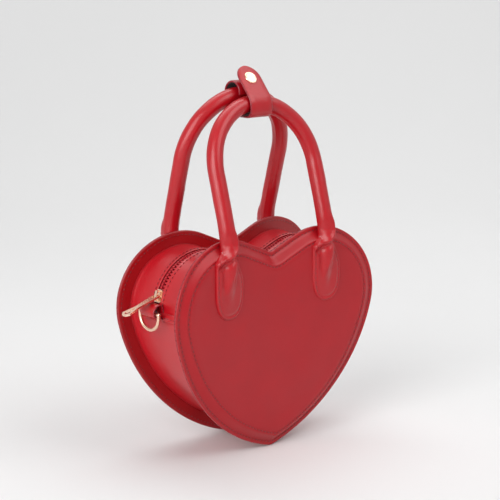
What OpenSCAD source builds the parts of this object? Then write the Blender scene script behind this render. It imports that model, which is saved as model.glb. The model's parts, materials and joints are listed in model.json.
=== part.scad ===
// Heart shaped handbag. Two padded heart panels stand proud of a recessed gusset. A zip runs over the lobes.
// Two rolled handles lean together and are held by a snap keeper. Each side has a ring on a leather tab.
// The front faces -Y and Z is up. The origin is the lowest point of the heart, midway between the panels.

/* [Heart] */
// Width over the two lobes
heart_w = 204; // [190:1:225]
// Height from the tip to the tops of the lobes
heart_h = 170; // [158:1:185]
// Radius of each lobe
lobe_r = 55; // [51:0.5:59]
// Slope of the notch between the lobes, in degrees
notch_slope = 23; // [18:1:28]
// Angle below a lobe's centre at which its arc runs into the long side arc, in degrees
side_start = 13; // [9:1:17]
// Radius of the rounding at the bottom of the notch
notch_r = 5; // [2:0.5:9]

/* [Panels] */
// Depth over the flanges of the panels, in the middle
bag_d = 53; // [46:1:64]
// How far each panel's side edges bow outwards from its middle
panel_bow = 10; // [6:0.5:14]
// Width of the flange that stands proud of the gusset
flange_w = 11; // [9:0.5:14]
// How far a panel's padded face stands out from its flange, in the middle
pillow_rise = 6.7; // [4:0.1:8]
// How far the padded face bows outwards towards its sides
pillow_bow = 5.6; // [4:0.2:8]
// Distance from the panel's edge to the padded face
pillow_inset = 7; // [6:0.5:9]
// Thickness of a panel's outer leather with its rim
panel_t = 1.8; // [1.5:0.1:2.4]
// Thickness of the stiffening board let into the leather
board_t = 0.6; // [0.4:0.1:1]
// Distance from the panel's edge to the board
board_inset = 4; // [3:0.5:6]
// Thickness of a panel's inner facing
facing_t = 0.8; // [0.6:0.1:1.2]
// Thickness of the lining cloth
lining_t = 0.5; // [0.4:0.1:0.8]

/* [Gusset and zip] */
// Thickness of the gusset leather
gusset_t = 1.4; // [1:0.1:1.8]
// Gap between the two leather strips beside the zip
zip_slot = 9; // [8.8:0.2:11]
// Width of each zip tape
tape_w = 9.5; // [7:0.5:12]
// Thickness of the zip tape
tape_t = 0.7; // [0.5:0.1:0.8]
// Distance between teeth of one row
tooth_pitch = 2.6; // [2.4:0.1:3.2]
// Length of a tooth along the zip
tooth_len = 1.3; // [1:0.1:1.5]
// Height of a tooth through the tape
tooth_h = 2.4; // [2:0.1:2.6]
// Length of the slider
slider_len = 9.6; // [8.6:0.2:11]
// Place of the slider, as an angle above the lobe's centre, in degrees
slider_angle = 19; // [18:1:24]
// Length of the pull
pull_len = 33; // [28:1:38]
// Width of the pull's flared end
pull_w = 8.8; // [7:0.2:10]
// Thickness of the pull
pull_t = 1.4; // [1.2:0.1:1.6]
// Angle of the pull at rest from straight out, in degrees
pull_angle = 37; // [25:1:50]

/* [Rings] */
// Outer width of a D-ring
ring_w = 25; // [22:0.5:28]
// Wire diameter of a D-ring
ring_wire = 2.7; // [2.2:0.1:3.2]
// Length of a D-ring's straight sides
ring_side = 1.8; // [1:0.2:4]
// Width of the leather tab that holds a ring
ring_tab_w = 17; // [14:0.5:19]
// Thickness of that tab's leather
ring_tab_t = 1.2; // [1:0.1:1.4]
// Height of the ring's bar above the lobe's centre
ring_bar_up = 3; // [2:0.5:4]
// Distance of the ring's bar from the gusset
ring_stand = 7; // [5.5:0.5:8.5]

/* [Handles] */
// Height of a handle's bend above the heart's top
bend_up = 4; // [3.5:0.5:8]
// Distance of the crease, where a sewn tab begins, below the heart's top
crease_down = 12; // [10:1:16]
// Half the distance between a handle's two feet, which is also the radius of its arch
handle_half = 50; // [44:1:56]
// Diameter of the rolled handle
handle_dia = 12.5; // [10:0.5:13.5]
// Thickness of the handle's leather cover
cover_t = 1.3; // [1:0.1:1.8]
// Length from a handle's bend to the top of its arch
handle_rise = 100.8; // [90:0.2:112]
// How much lower the front arch sits in the keeper than the middle of the two, and the back arch higher
handle_offset = 2.8; // [2.2:0.1:3.4]
// Gap between the two handles in the keeper
handle_gap = 0.9; // [0.7:0.1:1.6]
// Width of a handle's sewn tab
tab_w = 26; // [22:1:30]
// Height of a handle's sewn tab
tab_h = 47; // [40:1:54]
// Thickness of the tab
tab_t = 2.6; // [2:0.1:3.4]

/* [Keeper] */
// Width of the keeper strap
keeper_w = 22; // [18:1:26]
// Thickness of the keeper strap
keeper_t = 1.6; // [1.2:0.1:2]
// Lean of the flap from upright, in degrees
flap_lean = 40; // [36:1:44]
// Diameter of the snap's cap
snap_dia = 10.5; // [9:0.5:12]

/* [Hidden] */

// Sides of the bag
FRONT = -1;
BACK = 1;
LEFT = -1;
RIGHT = 1;

// Leather, metal and cloth as the photograph shows them
leather_red = [0.65, 0.22, 0.24];
gusset_red = [0.68, 0.08, 0.13];
inner_red = [0.45, 0.02, 0.05];
tape_red = [0.50, 0.05, 0.08];
nylon_red = [0.55, 0.04, 0.09];
gold = [0.86, 0.62, 0.50];
board_grey = [0.45, 0.42, 0.40];
lining_pink = [0.60, 0.30, 0.32];
filler_white = [0.85, 0.82, 0.76];
foam_cream = [0.88, 0.84, 0.70];

// Steps of the curves
lobe_steps = 26;
side_steps = 18;
notch_steps = 4;
bend_steps = 10;
$fn = 64;
bow_fn = 360;

// Length by which a cutter overruns what it cuts
overrun = 2;
// Running clearance between moving pieces
gap = 0.3;
// Clearance of a pin in its loop
pin_gap = 0.1;
// Room that keeps a round head off the flats of a curved strip
seat_gap = 0.05;

// The heart's construction: lobe arcs about the lobe centres, and side arcs tangent to them through the tip
lobe_x = heart_w / 2 - lobe_r;
lobe_z = heart_h - lobe_r;
arc_shift = (pow(lobe_x, 2) + pow(lobe_z, 2) - pow(lobe_r, 2))
    / (2 * (lobe_x * cos(side_start) - lobe_z * sin(side_start) + lobe_r));
side_r = arc_shift + lobe_r;
side_x = lobe_x - arc_shift * cos(side_start);
side_z = lobe_z + arc_shift * sin(side_start);
notch_centre_z = lobe_z + (lobe_r + notch_r) / cos(notch_slope) - lobe_x * tan(notch_slope);
bow_r = (pow(heart_w / 2, 2) + pow(panel_bow, 2)) / (2 * panel_bow);
pillow_r = (pow(heart_w / 2, 2) + pow(pillow_bow, 2)) / (2 * pillow_bow);
wall_t = panel_t + facing_t;

// Height at which the gusset's lower strip meets the zip strips
seam_z = lobe_z;

// Insets of the layers from the heart's edge
gusset_in = flange_w + gusset_t;
tape_in = gusset_in + tape_t;
lining_in = gusset_in + lining_t;

// The zip's layers as radii about the left lobe's centre
leather_rad = lobe_r - flange_w;
tape_mid_rad = lobe_r - gusset_in - tape_t / 2;
tooth_reach = 2.6;
tooth_bite = 1.6;
slit_half = 0.55;
slider_side_gap = 0.4;
slider_half = zip_slot / 2 - slider_side_gap;
slider_rear_share = 0.8;
slider_rear_half = slider_half * slider_rear_share;
plate_t = 1;
plate_low_rad = tape_mid_rad + tooth_h / 2 + gap;
plate_top_rad = plate_low_rad + plate_t;
floor_top_rad = (tape_mid_rad - tooth_h / 2) * cos(asin(slider_len / 2 / tape_mid_rad)) - gap;
floor_low_rad = floor_top_rad - plate_t;
lip_in = tooth_reach + slider_side_gap;
divider_t = 0.5;
crown_w = 2.4;
crown_t = 1.2;
crown_half = 4.2;
bar_r = 0.8;
bar_play = 0.3;
crown_room = 2 * bar_r + bar_play;
pull_axis_rad = plate_top_rad + crown_room / 2;
stop_len = 2;
stop_half_angle = 1.5;
stops_under = 9;
first_angle = slider_angle - stops_under;

// Shares of the pull's length and width
flare_share = 0.62;
waist_share = 0.24;
shoulder_share = 0.3;
tip_share = 0.22;
kite_share = 0.26;
rim_share = 0.17;

// Rings
wire_r = ring_wire / 2;
ring_bow_r = ring_w / 2 - wire_r;
ring_x = lobe_x + leather_rad + ring_stand;
ring_z = lobe_z + ring_bar_up;
ring_loop_in = wire_r + pin_gap;
ring_loop_out = ring_loop_in + ring_tab_t;
ring_tail_h = 15;
ring_loop_h = 6.5;
// Corners of the loop's outer side and of its hollow, as shares of the bar's distance and the loop's height
loop_shares = [[1.3, 0.5], [1.05, 0.85], [0.7, 1]];
hollow_shares = [[0, -0.55], [0.4, -0.15], [0.42, 0.3], [0.75, 0.4], [0.7, 0.62], [0.45, 0.78], [0, 0.78]];

// Handles: the feet stand against the flanges, and the bend is just above them
handle_r = handle_dia / 2;
core_r = handle_r - cover_t;
foot_press = 0.5;
panel_face_y = bag_d / 2 + bow_r - sqrt(pow(bow_r, 2) - pow(handle_half, 2));
foot_y = panel_face_y + handle_r - foot_press;
bend_z = heart_h + bend_up;
crease_z = heart_h - crease_down;
arch_y = handle_r + handle_gap / 2;
front_rise = handle_rise - handle_offset;
back_rise = handle_rise + handle_offset;
front_lean = asin((foot_y - arch_y) / front_rise);
back_lean = asin((foot_y - arch_y) / back_rise);
front_top_z = bend_z + front_rise * cos(front_lean);
back_top_z = bend_z + back_rise * cos(back_lean);
core_start = handle_r;
tab_end_share = 0.75;
taper_share = 0.7;

// Keeper, in the plane across the handles: y to the back and z up
keeper_play = 1.3;
keeper_slack = 2.9;
corner_r = 5;
half_t = keeper_t / 2;
keeper_front_y = -arch_y - handle_r - keeper_play - half_t;
keeper_back_y = arch_y + handle_r + keeper_play + half_t;
keeper_low_z = front_top_z - handle_r - keeper_slack - half_t;
curl_room = 1.25;
curl_rise = 1.95;
curl_wrap = 192;
curl_r = handle_r + curl_room + half_t;
curl_y = keeper_back_y - curl_r;
curl_z = back_top_z + curl_rise;
hinge_drop = 3;
hinge_z = front_top_z - hinge_drop;
flap_bend_r = 15;
flap_run = 15;
flap_round_r = keeper_w / 2 + 0.4;
flap_foot = [keeper_front_y, hinge_z + gap / 2];
flap_knee = flap_foot + flap_bend_r * [1 - cos(flap_lean), sin(flap_lean)];
snap_at = flap_knee + flap_run * [sin(flap_lean), cos(flap_lean)];
flap_tip = snap_at + (flap_round_r + overrun) * [sin(flap_lean), cos(flap_lean)];
flap_reach = flap_run + flap_bend_r;
snap_r = snap_dia / 2;
socket_r = 4;
socket_h = 1.5;
socket_bore_r = 2.3;
socket_deep_share = 0.85;
stud_head_share = 0.7;
stud_r = 1.9;
stud_base_r = 2.5;
shank_r = 1.2;
stud_reach = 7;

// A point at an angle on an arc
function on_arc(x, y, r, a) = [x + r * cos(a), y + r * sin(a)];
function arc(x, y, r, a0, a1, steps) = [for (i = [0 : steps]) on_arc(x, y, r, a0 + (a1 - a0) * i / steps)];
function flip(points) = [for (i = [len(points) - 1 : -1 : 0]) [-points[i][0], points[i][1]]];

// Right half of a heart whose edge is moved in by inset, from the tip to the notch
function half_heart(inset) = concat(
    arc(side_x, side_z, side_r - inset, -acos(-side_x / (side_r - inset)), -side_start, side_steps),
    arc(lobe_x, lobe_z, lobe_r - inset, -side_start, 90 + notch_slope, lobe_steps),
    arc(0, notch_centre_z, notch_r + inset, notch_slope - 90, -90, notch_steps));

// Unit direction of a path at a point, and the strip of a given thickness along the path
function unit(v) = v / norm(v);
function side_of(v) = [-v[1], v[0]];
function heading(p, i) = unit(p[min(i + 1, len(p) - 1)] - p[max(i - 1, 0)]);
function strip(p, t) = concat([for (i = [0 : len(p) - 1]) p[i] + side_of(heading(p, i)) * t / 2],
    [for (i = [len(p) - 1 : -1 : 0]) p[i] - side_of(heading(p, i)) * t / 2]);

// Flat heart with its edge moved in by inset
module heart(inset) {
    right = half_heart(inset);
    polygon(concat(right, [for (p = flip(right)) if (p[0] != 0) p]));
}

// A flat drawing in x and z made solid from y0 to y1
module deep(y0, y1) {
    translate([0, y1, 0]) rotate([90, 0, 0]) linear_extrude(height = y1 - y0) children();
}

// The round column about a panel's bow axis, which sets the panel's curved faces
module bow_column(side, r, extra = 0) {
    translate([0, side * (bag_d / 2 + bow_r), -overrun - extra])
        cylinder(r = r, h = bend_z + 2 * (overrun + extra), $fn = bow_fn);
}

// The round column that sets the curve of a padded face
module pillow_column(side, r, extra = 0) {
    translate([0, side * (bag_d / 2 + pillow_rise + pillow_r), -overrun - extra])
        cylinder(r = r, h = bend_z + 2 * (overrun + extra), $fn = bow_fn);
}

// A heart block from back behind the flange's outer face out to depth behind the padded face
module pillow(side, inset, depth, back) {
    difference() {
        intersection() {
            deep(-bag_d, bag_d) heart(inset);
            bow_column(side, bow_r + back);
        }
        pillow_column(side, pillow_r + depth, overrun);
    }
}

// A curved heart sheet that lies depth behind the flange's outer face
module sheet(side, inset, depth, t) {
    intersection() {
        deep(-bag_d, bag_d) heart(inset);
        difference() {
            bow_column(side, bow_r + depth + t);
            bow_column(side, bow_r + depth, overrun);
        }
    }
}

// The band between two insets of the heart, from z0 up to z1
module band(outer, inner, z0, z1) {
    intersection() {
        difference() {
            heart(outer);
            heart(inner);
        }
        translate([-heart_w, z0]) square([2 * heart_w, z1 - z0]);
    }
}

// Outer leather of a panel, with the recess for its board and the hollow for its padding
module panel(side) {
    color(leather_red) difference() {
        union() {
            sheet(side, 0, 0, panel_t);
            pillow(side, pillow_inset, 0, panel_t / 2);
        }
        board_shape(side);
        padding_shape(side);
    }
}

module padding_shape(side) {
    pillow(side, pillow_inset + panel_t, panel_t, panel_t - board_t);
}

module padding(side) {
    color(foam_cream) padding_shape(side);
}

module board_shape(side) {
    sheet(side, board_inset, panel_t - board_t, board_t);
}

module board(side) {
    color(board_grey) board_shape(side);
}

module facing(side) {
    color(inner_red) sheet(side, 0, panel_t, facing_t);
}

// One wide strip round the bottom of the heart, from side to side
module lower_gusset() {
    color(gusset_red) difference() {
        deep(-bag_d, bag_d) band(flange_w, gusset_in, -overrun, seam_z);
        bow_column(FRONT, bow_r + wall_t, overrun);
        bow_column(BACK, bow_r + wall_t, overrun);
    }
}

// A strip that runs over the lobes on one side of the zip
module top_strip(side, outer, inner, edge, depth) {
    difference() {
        deep(side < 0 ? -bag_d : edge, side < 0 ? -edge : bag_d) band(outer, inner, seam_z, heart_h);
        bow_column(side, bow_r + depth, overrun);
    }
}

module zip_strip(side) {
    color(gusset_red) top_strip(side, flange_w, gusset_in, zip_slot / 2, wall_t);
}

module zip_tape(side) {
    y0 = side < 0 ? -tooth_bite - tape_w : tooth_bite;
    color(tape_red) deep(y0, y0 + tape_w) band(gusset_in, tape_in, seam_z, heart_h);
}

// Lining behind a zip strip, turned back short of the teeth
module zip_lining(side) {
    color(lining_pink)
        top_strip(side, tape_in, tape_in + lining_t, zip_slot / 2 + tooth_bite, wall_t + lining_t);
}

module panel_lining(side) {
    color(lining_pink) sheet(side, gusset_in, wall_t, lining_t);
}

module gusset_lining() {
    color(lining_pink) difference() {
        deep(-bag_d, bag_d) band(gusset_in, lining_in, -overrun, seam_z);
        bow_column(FRONT, bow_r + wall_t + lining_t, overrun);
        bow_column(BACK, bow_r + wall_t + lining_t, overrun);
    }
}

// One tooth standing at the origin: its jaws close on the tape, which lies towards +Y
module tooth() {
    jaw = (tooth_h - tape_t) / 2 - gap / 6;
    translate([-tooth_len / 2, 0, 0]) rotate([90, 0, 90]) linear_extrude(height = tooth_len) polygon([
        [slit_half, -tooth_h / 2], [tooth_reach, -tooth_h / 2], [tooth_reach, -tooth_h / 2 + jaw],
        [tooth_bite, -tooth_h / 2 + jaw], [tooth_bite, tooth_h / 2 - jaw], [tooth_reach, tooth_h / 2 - jaw],
        [tooth_reach, tooth_h / 2], [slit_half, tooth_h / 2]]);
}

// Places along a lobe by angle: 0 is straight out from the bag's side and 90 is the top
module on_lobe(hand, angle, rad) {
    translate([hand * lobe_x, 0, lobe_z]) rotate([0, hand * (90 - angle), 0]) translate([0, 0, rad]) children();
}

// Places along half of the zip by distance from its lower end: over a lobe, down its slope, then round the notch
zip_arc_len = (90 + notch_slope - first_angle) * PI / 180 * tape_mid_rad;
turn_x = lobe_x - tape_mid_rad * sin(notch_slope);
turn_z = lobe_z + tape_mid_rad * cos(notch_slope);
valley_r = notch_r + lobe_r - tape_mid_rad;
zip_slope_len = (turn_x - valley_r * sin(notch_slope)) / cos(notch_slope);
zip_half_len = zip_arc_len + zip_slope_len + valley_r * notch_slope * PI / 180;
module on_zip(hand, s) {
    on_slope = s - zip_arc_len;
    on_valley = on_slope - zip_slope_len;
    turned = notch_slope - on_valley / valley_r * 180 / PI;
    if (on_slope < 0)
        on_lobe(hand, first_angle + s / tape_mid_rad * 180 / PI, tape_mid_rad) children();
    else if (on_valley < 0)
        translate([hand * (turn_x - on_slope * cos(notch_slope)), 0, turn_z - on_slope * sin(notch_slope)])
            rotate([0, -hand * notch_slope, 0]) children();
    else
        translate([0, 0, notch_centre_z]) rotate([0, -hand * turned, 0])
            translate([0, 0, -valley_r]) children();
}

// A row of teeth from end to end of the zip
module zip_teeth(side) {
    start = side < 0 ? tooth_pitch / 2 : tooth_pitch;
    count = floor((zip_half_len - start - tooth_pitch / 2) / tooth_pitch);
    color(nylon_red) for (hand = [LEFT, RIGHT]) for (i = [0 : count])
        on_zip(hand, start + i * tooth_pitch) scale([1, side, 1]) tooth();
}

// Stops beyond both ends of the rows, two beside each other at each end
module zip_stops() {
    color(gold) for (hand = [LEFT, RIGHT]) for (side = [FRONT, BACK])
        on_lobe(hand, first_angle - stop_half_angle, tape_mid_rad)
            scale([stop_len / tooth_len, side, 1]) tooth();
}

// Plan of the slider, wide where the rows part and narrow where they close
module slider_plan(inset) {
    front = -slider_len / 2;
    rear = slider_len / 2;
    corner = slider_half / 4;
    polygon([[front, -slider_half + corner + inset], [front + corner, -slider_half + inset],
        [0, -slider_half + inset], [rear - corner, -slider_rear_half + inset],
        [rear, -slider_rear_half + corner + inset], [rear, slider_rear_half - corner - inset],
        [rear - corner, slider_rear_half - inset], [0, slider_half - inset],
        [front + corner, slider_half - inset], [front, slider_half - corner - inset]]);
}

// Slider: two plates joined by the divider, with lips beside the teeth and a crown over the pull's bar
module zip_slider() {
    color(gold) on_lobe(LEFT, slider_angle, 0) {
        translate([0, 0, plate_low_rad]) linear_extrude(height = plate_t) slider_plan(0);
        translate([0, 0, floor_low_rad]) linear_extrude(height = plate_t) slider_plan(0);
        slider_lips(tape_mid_rad + tape_t / 2 + gap, plate_low_rad + plate_t / 2);
        slider_lips(floor_top_rad - plate_t / 2, floor_top_rad + (tooth_h - tape_t) / 2 - gap / 2);
        translate([-slider_len / 2 + gap, -divider_t / 2, floor_low_rad + plate_t / 2])
            cube([slider_len / 4, divider_t, plate_low_rad - floor_low_rad]);
        translate([0, crown_w / 2, plate_top_rad]) rotate([90, 0, 0]) linear_extrude(height = crown_w)
            difference() {
                polygon([[-crown_half, -plate_t / 2], [-crown_half, 0],
                    [-crown_half + crown_t / 2, crown_room + crown_t],
                    [crown_half - crown_t / 2, crown_room + crown_t], [crown_half, 0],
                    [crown_half, -plate_t / 2]]);
                translate([-crown_half + crown_t, -crown_t])
                    square([2 * (crown_half - crown_t), crown_room + crown_t]);
            }
    }
}

// The slider's side lips between two radii
module slider_lips(low, high) {
    translate([0, 0, low]) linear_extrude(height = high - low) difference() {
        slider_plan(0);
        translate([-slider_len, -lip_in]) square([2 * slider_len, 2 * lip_in]);
    }
}

// Pull: a bar under the slider's crown, two arms, and a plate that flares to an end with a kite opening
module zip_pull() {
    arm_in = crown_w / 2 + gap + gap / 3;
    arm_out = arm_in + pull_t;
    neck = crown_half + crown_t + gap;
    flare_at = pull_len * flare_share;
    tip_half = pull_w * tip_share;
    waist_half = pull_w * waist_share;
    shoulder_at = pull_len - pull_w * shoulder_share;
    kite_half = pull_w * kite_share;
    rim = pull_w * rim_share;
    color(gold) on_lobe(LEFT, slider_angle, pull_axis_rad) rotate([0, -pull_angle, 0]) {
        rotate([90, 0, 0]) cylinder(r = bar_r, h = 2 * arm_out, center = true, $fn = 24);
        for (side = [FRONT, BACK])
            translate([-pull_t / 2, side < 0 ? -arm_out : arm_in, 0]) cube([pull_t, arm_out - arm_in, neck]);
        translate([-pull_t / 2, 0, 0]) rotate([90, 0, 90]) linear_extrude(height = pull_t) difference() {
            polygon([[-arm_out, neck - crown_t / 2], [arm_out, neck - crown_t / 2],
                [waist_half, flare_at], [pull_w / 2, shoulder_at], [tip_half, pull_len],
                [-tip_half, pull_len], [-pull_w / 2, shoulder_at], [-waist_half, flare_at]]);
            polygon([[0, flare_at + rim], [kite_half, shoulder_at - rim], [kite_half / 2, pull_len - rim],
                [-kite_half / 2, pull_len - rim], [-kite_half, shoulder_at - rim]]);
        }
    }
}

// Section of a ring's tab: x is the distance out from the gusset and y the height above the ring's bar.
// The two plies are sewn together below, and open into a loop with the bar in its lower part.
module ring_tab_section() {
    sewn_t = 2 * ring_tab_t;
    difference() {
        union() {
            polygon(concat([[-sewn_t, -ring_tail_h], [sewn_t, -ring_tail_h], [sewn_t, -ring_loop_h],
                [ring_stand + ring_loop_out, 0]],
                [for (p = loop_shares) [ring_stand * p[0], ring_loop_h * p[1]]],
                [[-sewn_t, ring_loop_h]]));
            translate([ring_stand, 0]) circle(r = ring_loop_out);
        }
        translate([ring_stand, 0]) circle(r = ring_loop_in);
        polygon([for (p = hollow_shares) [ring_tab_t + ring_stand * p[0], ring_loop_h * p[1]]]);
    }
}

// Leather tab folded round a ring's bar and sewn to the gusset
module ring_tab(hand) {
    color(leather_red) difference() {
        translate([hand * (lobe_x + leather_rad), ring_tab_w / 2, ring_z]) rotate([90, 0, 0])
            linear_extrude(height = ring_tab_w) scale([hand, 1]) ring_tab_section();
        deep(-bag_d, bag_d) heart(flange_w);
    }
}

// D-ring hanging from its bar
module d_ring(hand) {
    color(gold) translate([hand * ring_x, 0, ring_z]) {
        rotate([90, 0, 0]) cylinder(r = wire_r, h = 2 * ring_bow_r, center = true, $fn = 32);
        for (side = [FRONT, BACK]) translate([0, side * ring_bow_r, 0]) {
            sphere(r = wire_r, $fn = 32);
            translate([0, 0, -ring_side]) cylinder(r = wire_r, h = ring_side, $fn = 32);
        }
        translate([0, 0, -ring_side]) rotate([0, 90, 0]) rotate([0, 0, -90])
            rotate_extrude(angle = 180) translate([ring_bow_r, 0]) circle(r = wire_r, $fn = 32);
    }
}

// Outline of a handle's tab: a tongue with an oval end, drawn in at the crease
module tab_outline(x) {
    end_h = tab_w * tab_end_share;
    low = crease_z - tab_h;
    translate([x, 0]) polygon(concat(
        [for (i = [0 : lobe_steps]) [tab_w / 2 * cos(180 + 180 * i / lobe_steps),
            low + end_h + end_h * sin(180 + 180 * i / lobe_steps)]],
        [[tab_w / 2, crease_z - tab_h / 4], [handle_r, crease_z + handle_r / 2],
            [-handle_r, crease_z + handle_r / 2], [-tab_w / 2, crease_z - tab_h / 4]]));
}

// Tab sewn to a padded face, with the end of the rolled handle that tapers away under it
module handle_tab(side, hand) {
    x = hand * handle_half;
    taper_h = tab_h * taper_share;
    color(leather_red) difference() {
        union() {
            intersection() {
                deep(side < 0 ? -bag_d : 0, side < 0 ? 0 : bag_d) tab_outline(x);
                difference() {
                    pillow_column(side, pillow_r);
                    pillow_column(side, pillow_r - tab_t, overrun);
                }
            }
            difference() {
                intersection() {
                    union() {
                        translate([x, side * foot_y, crease_z]) cylinder(r = handle_r, h = bend_z - crease_z);
                        translate([x, side * foot_y, crease_z]) sphere(r = handle_r + gap / 2);
                        translate([x, side * foot_y, crease_z - taper_h])
                            cylinder(r1 = handle_r / 4, r2 = handle_r, h = taper_h);
                    }
                    bow_column(side, bow_r, overrun);
                }
                pillow(side, pillow_inset, 0, panel_t / 2);
            }
        }
        translate([x, side * foot_y, bend_z]) sphere(r = handle_r + gap);
    }
}

// The arch of a handle as a round bar of radius r, whose legs start at the given height over the bend
module handle_bar(side, rise, lean, r, start) {
    translate([0, side * foot_y, bend_z]) rotate([side * lean, 0, 0]) {
        for (hand = [LEFT, RIGHT]) translate([hand * handle_half, 0, start])
            cylinder(r = r, h = rise - handle_half - start);
        translate([0, 0, rise - handle_half]) rotate([90, 0, 0]) rotate_extrude(angle = 180)
            translate([handle_half, 0]) circle(r = r);
    }
}

module handle_cover(side, rise, lean) {
    color(leather_red) difference() {
        union() {
            handle_bar(side, rise, lean, handle_r, 0);
            for (hand = [LEFT, RIGHT]) translate([hand * handle_half, side * foot_y, bend_z])
                rotate([side * lean, 0, 0]) rotate_extrude() intersection() {
                    circle(r = handle_r);
                    translate([0, -handle_r]) square(handle_r);
                }
        }
        handle_bar(side, rise, lean, core_r, core_start);
    }
}

module handle_core(side, rise, lean) {
    color(filler_white) handle_bar(side, rise, lean, core_r, core_start);
}

// A drawing in y and z made solid across the keeper's width
module across(w) {
    translate([-w / 2, 0, 0]) rotate([90, 0, 90]) linear_extrude(height = w) children();
}

// Turns a piece so that its own Z points out of the flap's face at the snap
module at_snap() {
    translate([0, snap_at[0], snap_at[1]]) rotate([90 - flap_lean, 0, 0]) children();
}

// Keeper strap: from its curled end over the back handle, under both handles and up the front
module keeper_strap() {
    color(leather_red) difference() {
        across(keeper_w) polygon(strip(concat(
            arc(curl_y, curl_z, curl_r, curl_wrap, 0, lobe_steps),
            arc(keeper_back_y - corner_r, keeper_low_z + corner_r, corner_r, 0, -90, bend_steps),
            arc(keeper_front_y + corner_r, keeper_low_z + corner_r, corner_r, -90, -180, bend_steps),
            [[keeper_front_y, hinge_z - gap / 2]]), keeper_t));
        at_snap() translate([0, 0, -2 * stud_reach]) cylinder(r = shank_r, h = 2 * stud_reach, $fn = 32);
    }
}

// Flap: bends back over the front handle and ends round about the snap
module keeper_flap() {
    color(leather_red) difference() {
        intersection() {
            across(keeper_w) polygon(strip(concat(
                arc(flap_foot[0] + flap_bend_r, flap_foot[1], flap_bend_r, 180, 180 - flap_lean, bend_steps),
                [flap_tip]), keeper_t));
            at_snap() union() {
                cylinder(r = flap_round_r, h = 2 * keeper_t, center = true);
                translate([-keeper_w, -flap_reach, -flap_reach])
                    cube([2 * keeper_w, flap_reach, 2 * flap_reach]);
            }
        }
        at_snap() cylinder(r = shank_r, h = 2 * keeper_t, center = true, $fn = 32);
    }
}

// Cap with a rolled rim round a shallow dish, and its shank through the flap
module snap_cap() {
    rim_r = 0.9;
    dish_t = 0.7;
    color(gold) at_snap() {
        translate([0, 0, half_t]) cylinder(r = snap_r - rim_r, h = dish_t);
        translate([0, 0, half_t]) rotate_extrude() translate([snap_r - rim_r, 0]) intersection() {
            circle(r = rim_r, $fn = 32);
            translate([-rim_r, 0]) square([2 * rim_r, rim_r]);
        }
        translate([0, 0, -half_t]) cylinder(r = shank_r, h = keeper_t, $fn = 32);
    }
}

module snap_socket() {
    color(gold) at_snap() translate([0, 0, -half_t - socket_h]) difference() {
        cylinder(r = socket_r, h = socket_h);
        translate([0, 0, -overrun]) cylinder(r = socket_bore_r, h = socket_h * socket_deep_share + overrun);
    }
}

// Stud whose base is cut to the curl of the strap, with its head in the socket
module snap_stud() {
    base_top = -half_t - socket_h - gap;
    color(gold) difference() {
        at_snap() {
            translate([0, 0, base_top - stud_reach]) cylinder(r = stud_base_r, h = stud_reach);
            translate([0, 0, base_top]) cylinder(r = stud_r, h = socket_h * stud_head_share);
        }
        across(keeper_w) translate([curl_y, curl_z]) circle(r = curl_r + half_t, $fn = bow_fn);
    }
}

// Post that fixes the stud: a shank through the strap and a flat head inside the curl
module snap_post() {
    head_r = 3;
    head_t = 0.6;
    color(gold) {
        intersection() {
            at_snap() translate([0, 0, -2 * stud_reach]) cylinder(r = shank_r, h = 2 * stud_reach, $fn = 32);
            across(keeper_w) curl_ring(curl_r - half_t, curl_r + half_t);
        }
        intersection() {
            at_snap() translate([0, 0, -2 * stud_reach]) cylinder(r = head_r, h = 2 * stud_reach);
            across(keeper_w) curl_ring(curl_r - half_t - head_t, curl_r - half_t - seat_gap);
        }
    }
}

module curl_ring(inner, outer) {
    translate([curl_y, curl_z]) difference() {
        circle(r = outer, $fn = bow_fn);
        circle(r = inner, $fn = bow_fn);
    }
}

panel(FRONT);  // front_panel
board(FRONT);  // front_board
facing(FRONT);  // front_facing
panel(BACK);  // back_panel
board(BACK);  // back_board
facing(BACK);  // back_facing
lower_gusset();
zip_strip(FRONT);  // zip_strip_front
zip_strip(BACK);  // zip_strip_back
zip_tape(FRONT);  // zip_tape_front
zip_tape(BACK);  // zip_tape_back
zip_teeth(FRONT);  // zip_teeth_front
zip_teeth(BACK);  // zip_teeth_back
zip_stops();
zip_slider();
zip_pull();
ring_tab(LEFT);  // left_ring_tab
ring_tab(RIGHT);  // right_ring_tab
d_ring(LEFT);  // left_d_ring
d_ring(RIGHT);  // right_d_ring
handle_tab(FRONT, LEFT);  // front_left_handle_tab
handle_tab(FRONT, RIGHT);  // front_right_handle_tab
handle_tab(BACK, LEFT);  // back_left_handle_tab
handle_tab(BACK, RIGHT);  // back_right_handle_tab
handle_cover(FRONT, front_rise, front_lean);  // front_handle_cover
handle_core(FRONT, front_rise, front_lean);  // front_handle_core
handle_cover(BACK, back_rise, back_lean);  // back_handle_cover
handle_core(BACK, back_rise, back_lean);  // back_handle_core
keeper_strap();
keeper_flap();
snap_cap();
snap_socket();
snap_stud();
snap_post();
panel_lining(FRONT);  // front_lining
panel_lining(BACK);  // back_lining
gusset_lining();
zip_lining(FRONT);  // zip_lining_front
zip_lining(BACK);  // zip_lining_back
padding(FRONT);  // front_padding
padding(BACK);  // back_padding
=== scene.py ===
"""A heart shaped leather handbag: its leather, stitches, metal and cloth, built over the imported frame."""

import json
import math

import bmesh
import bpy
from bpy.props import FloatProperty, FloatVectorProperty, PointerProperty
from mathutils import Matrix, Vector, noise


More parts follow.
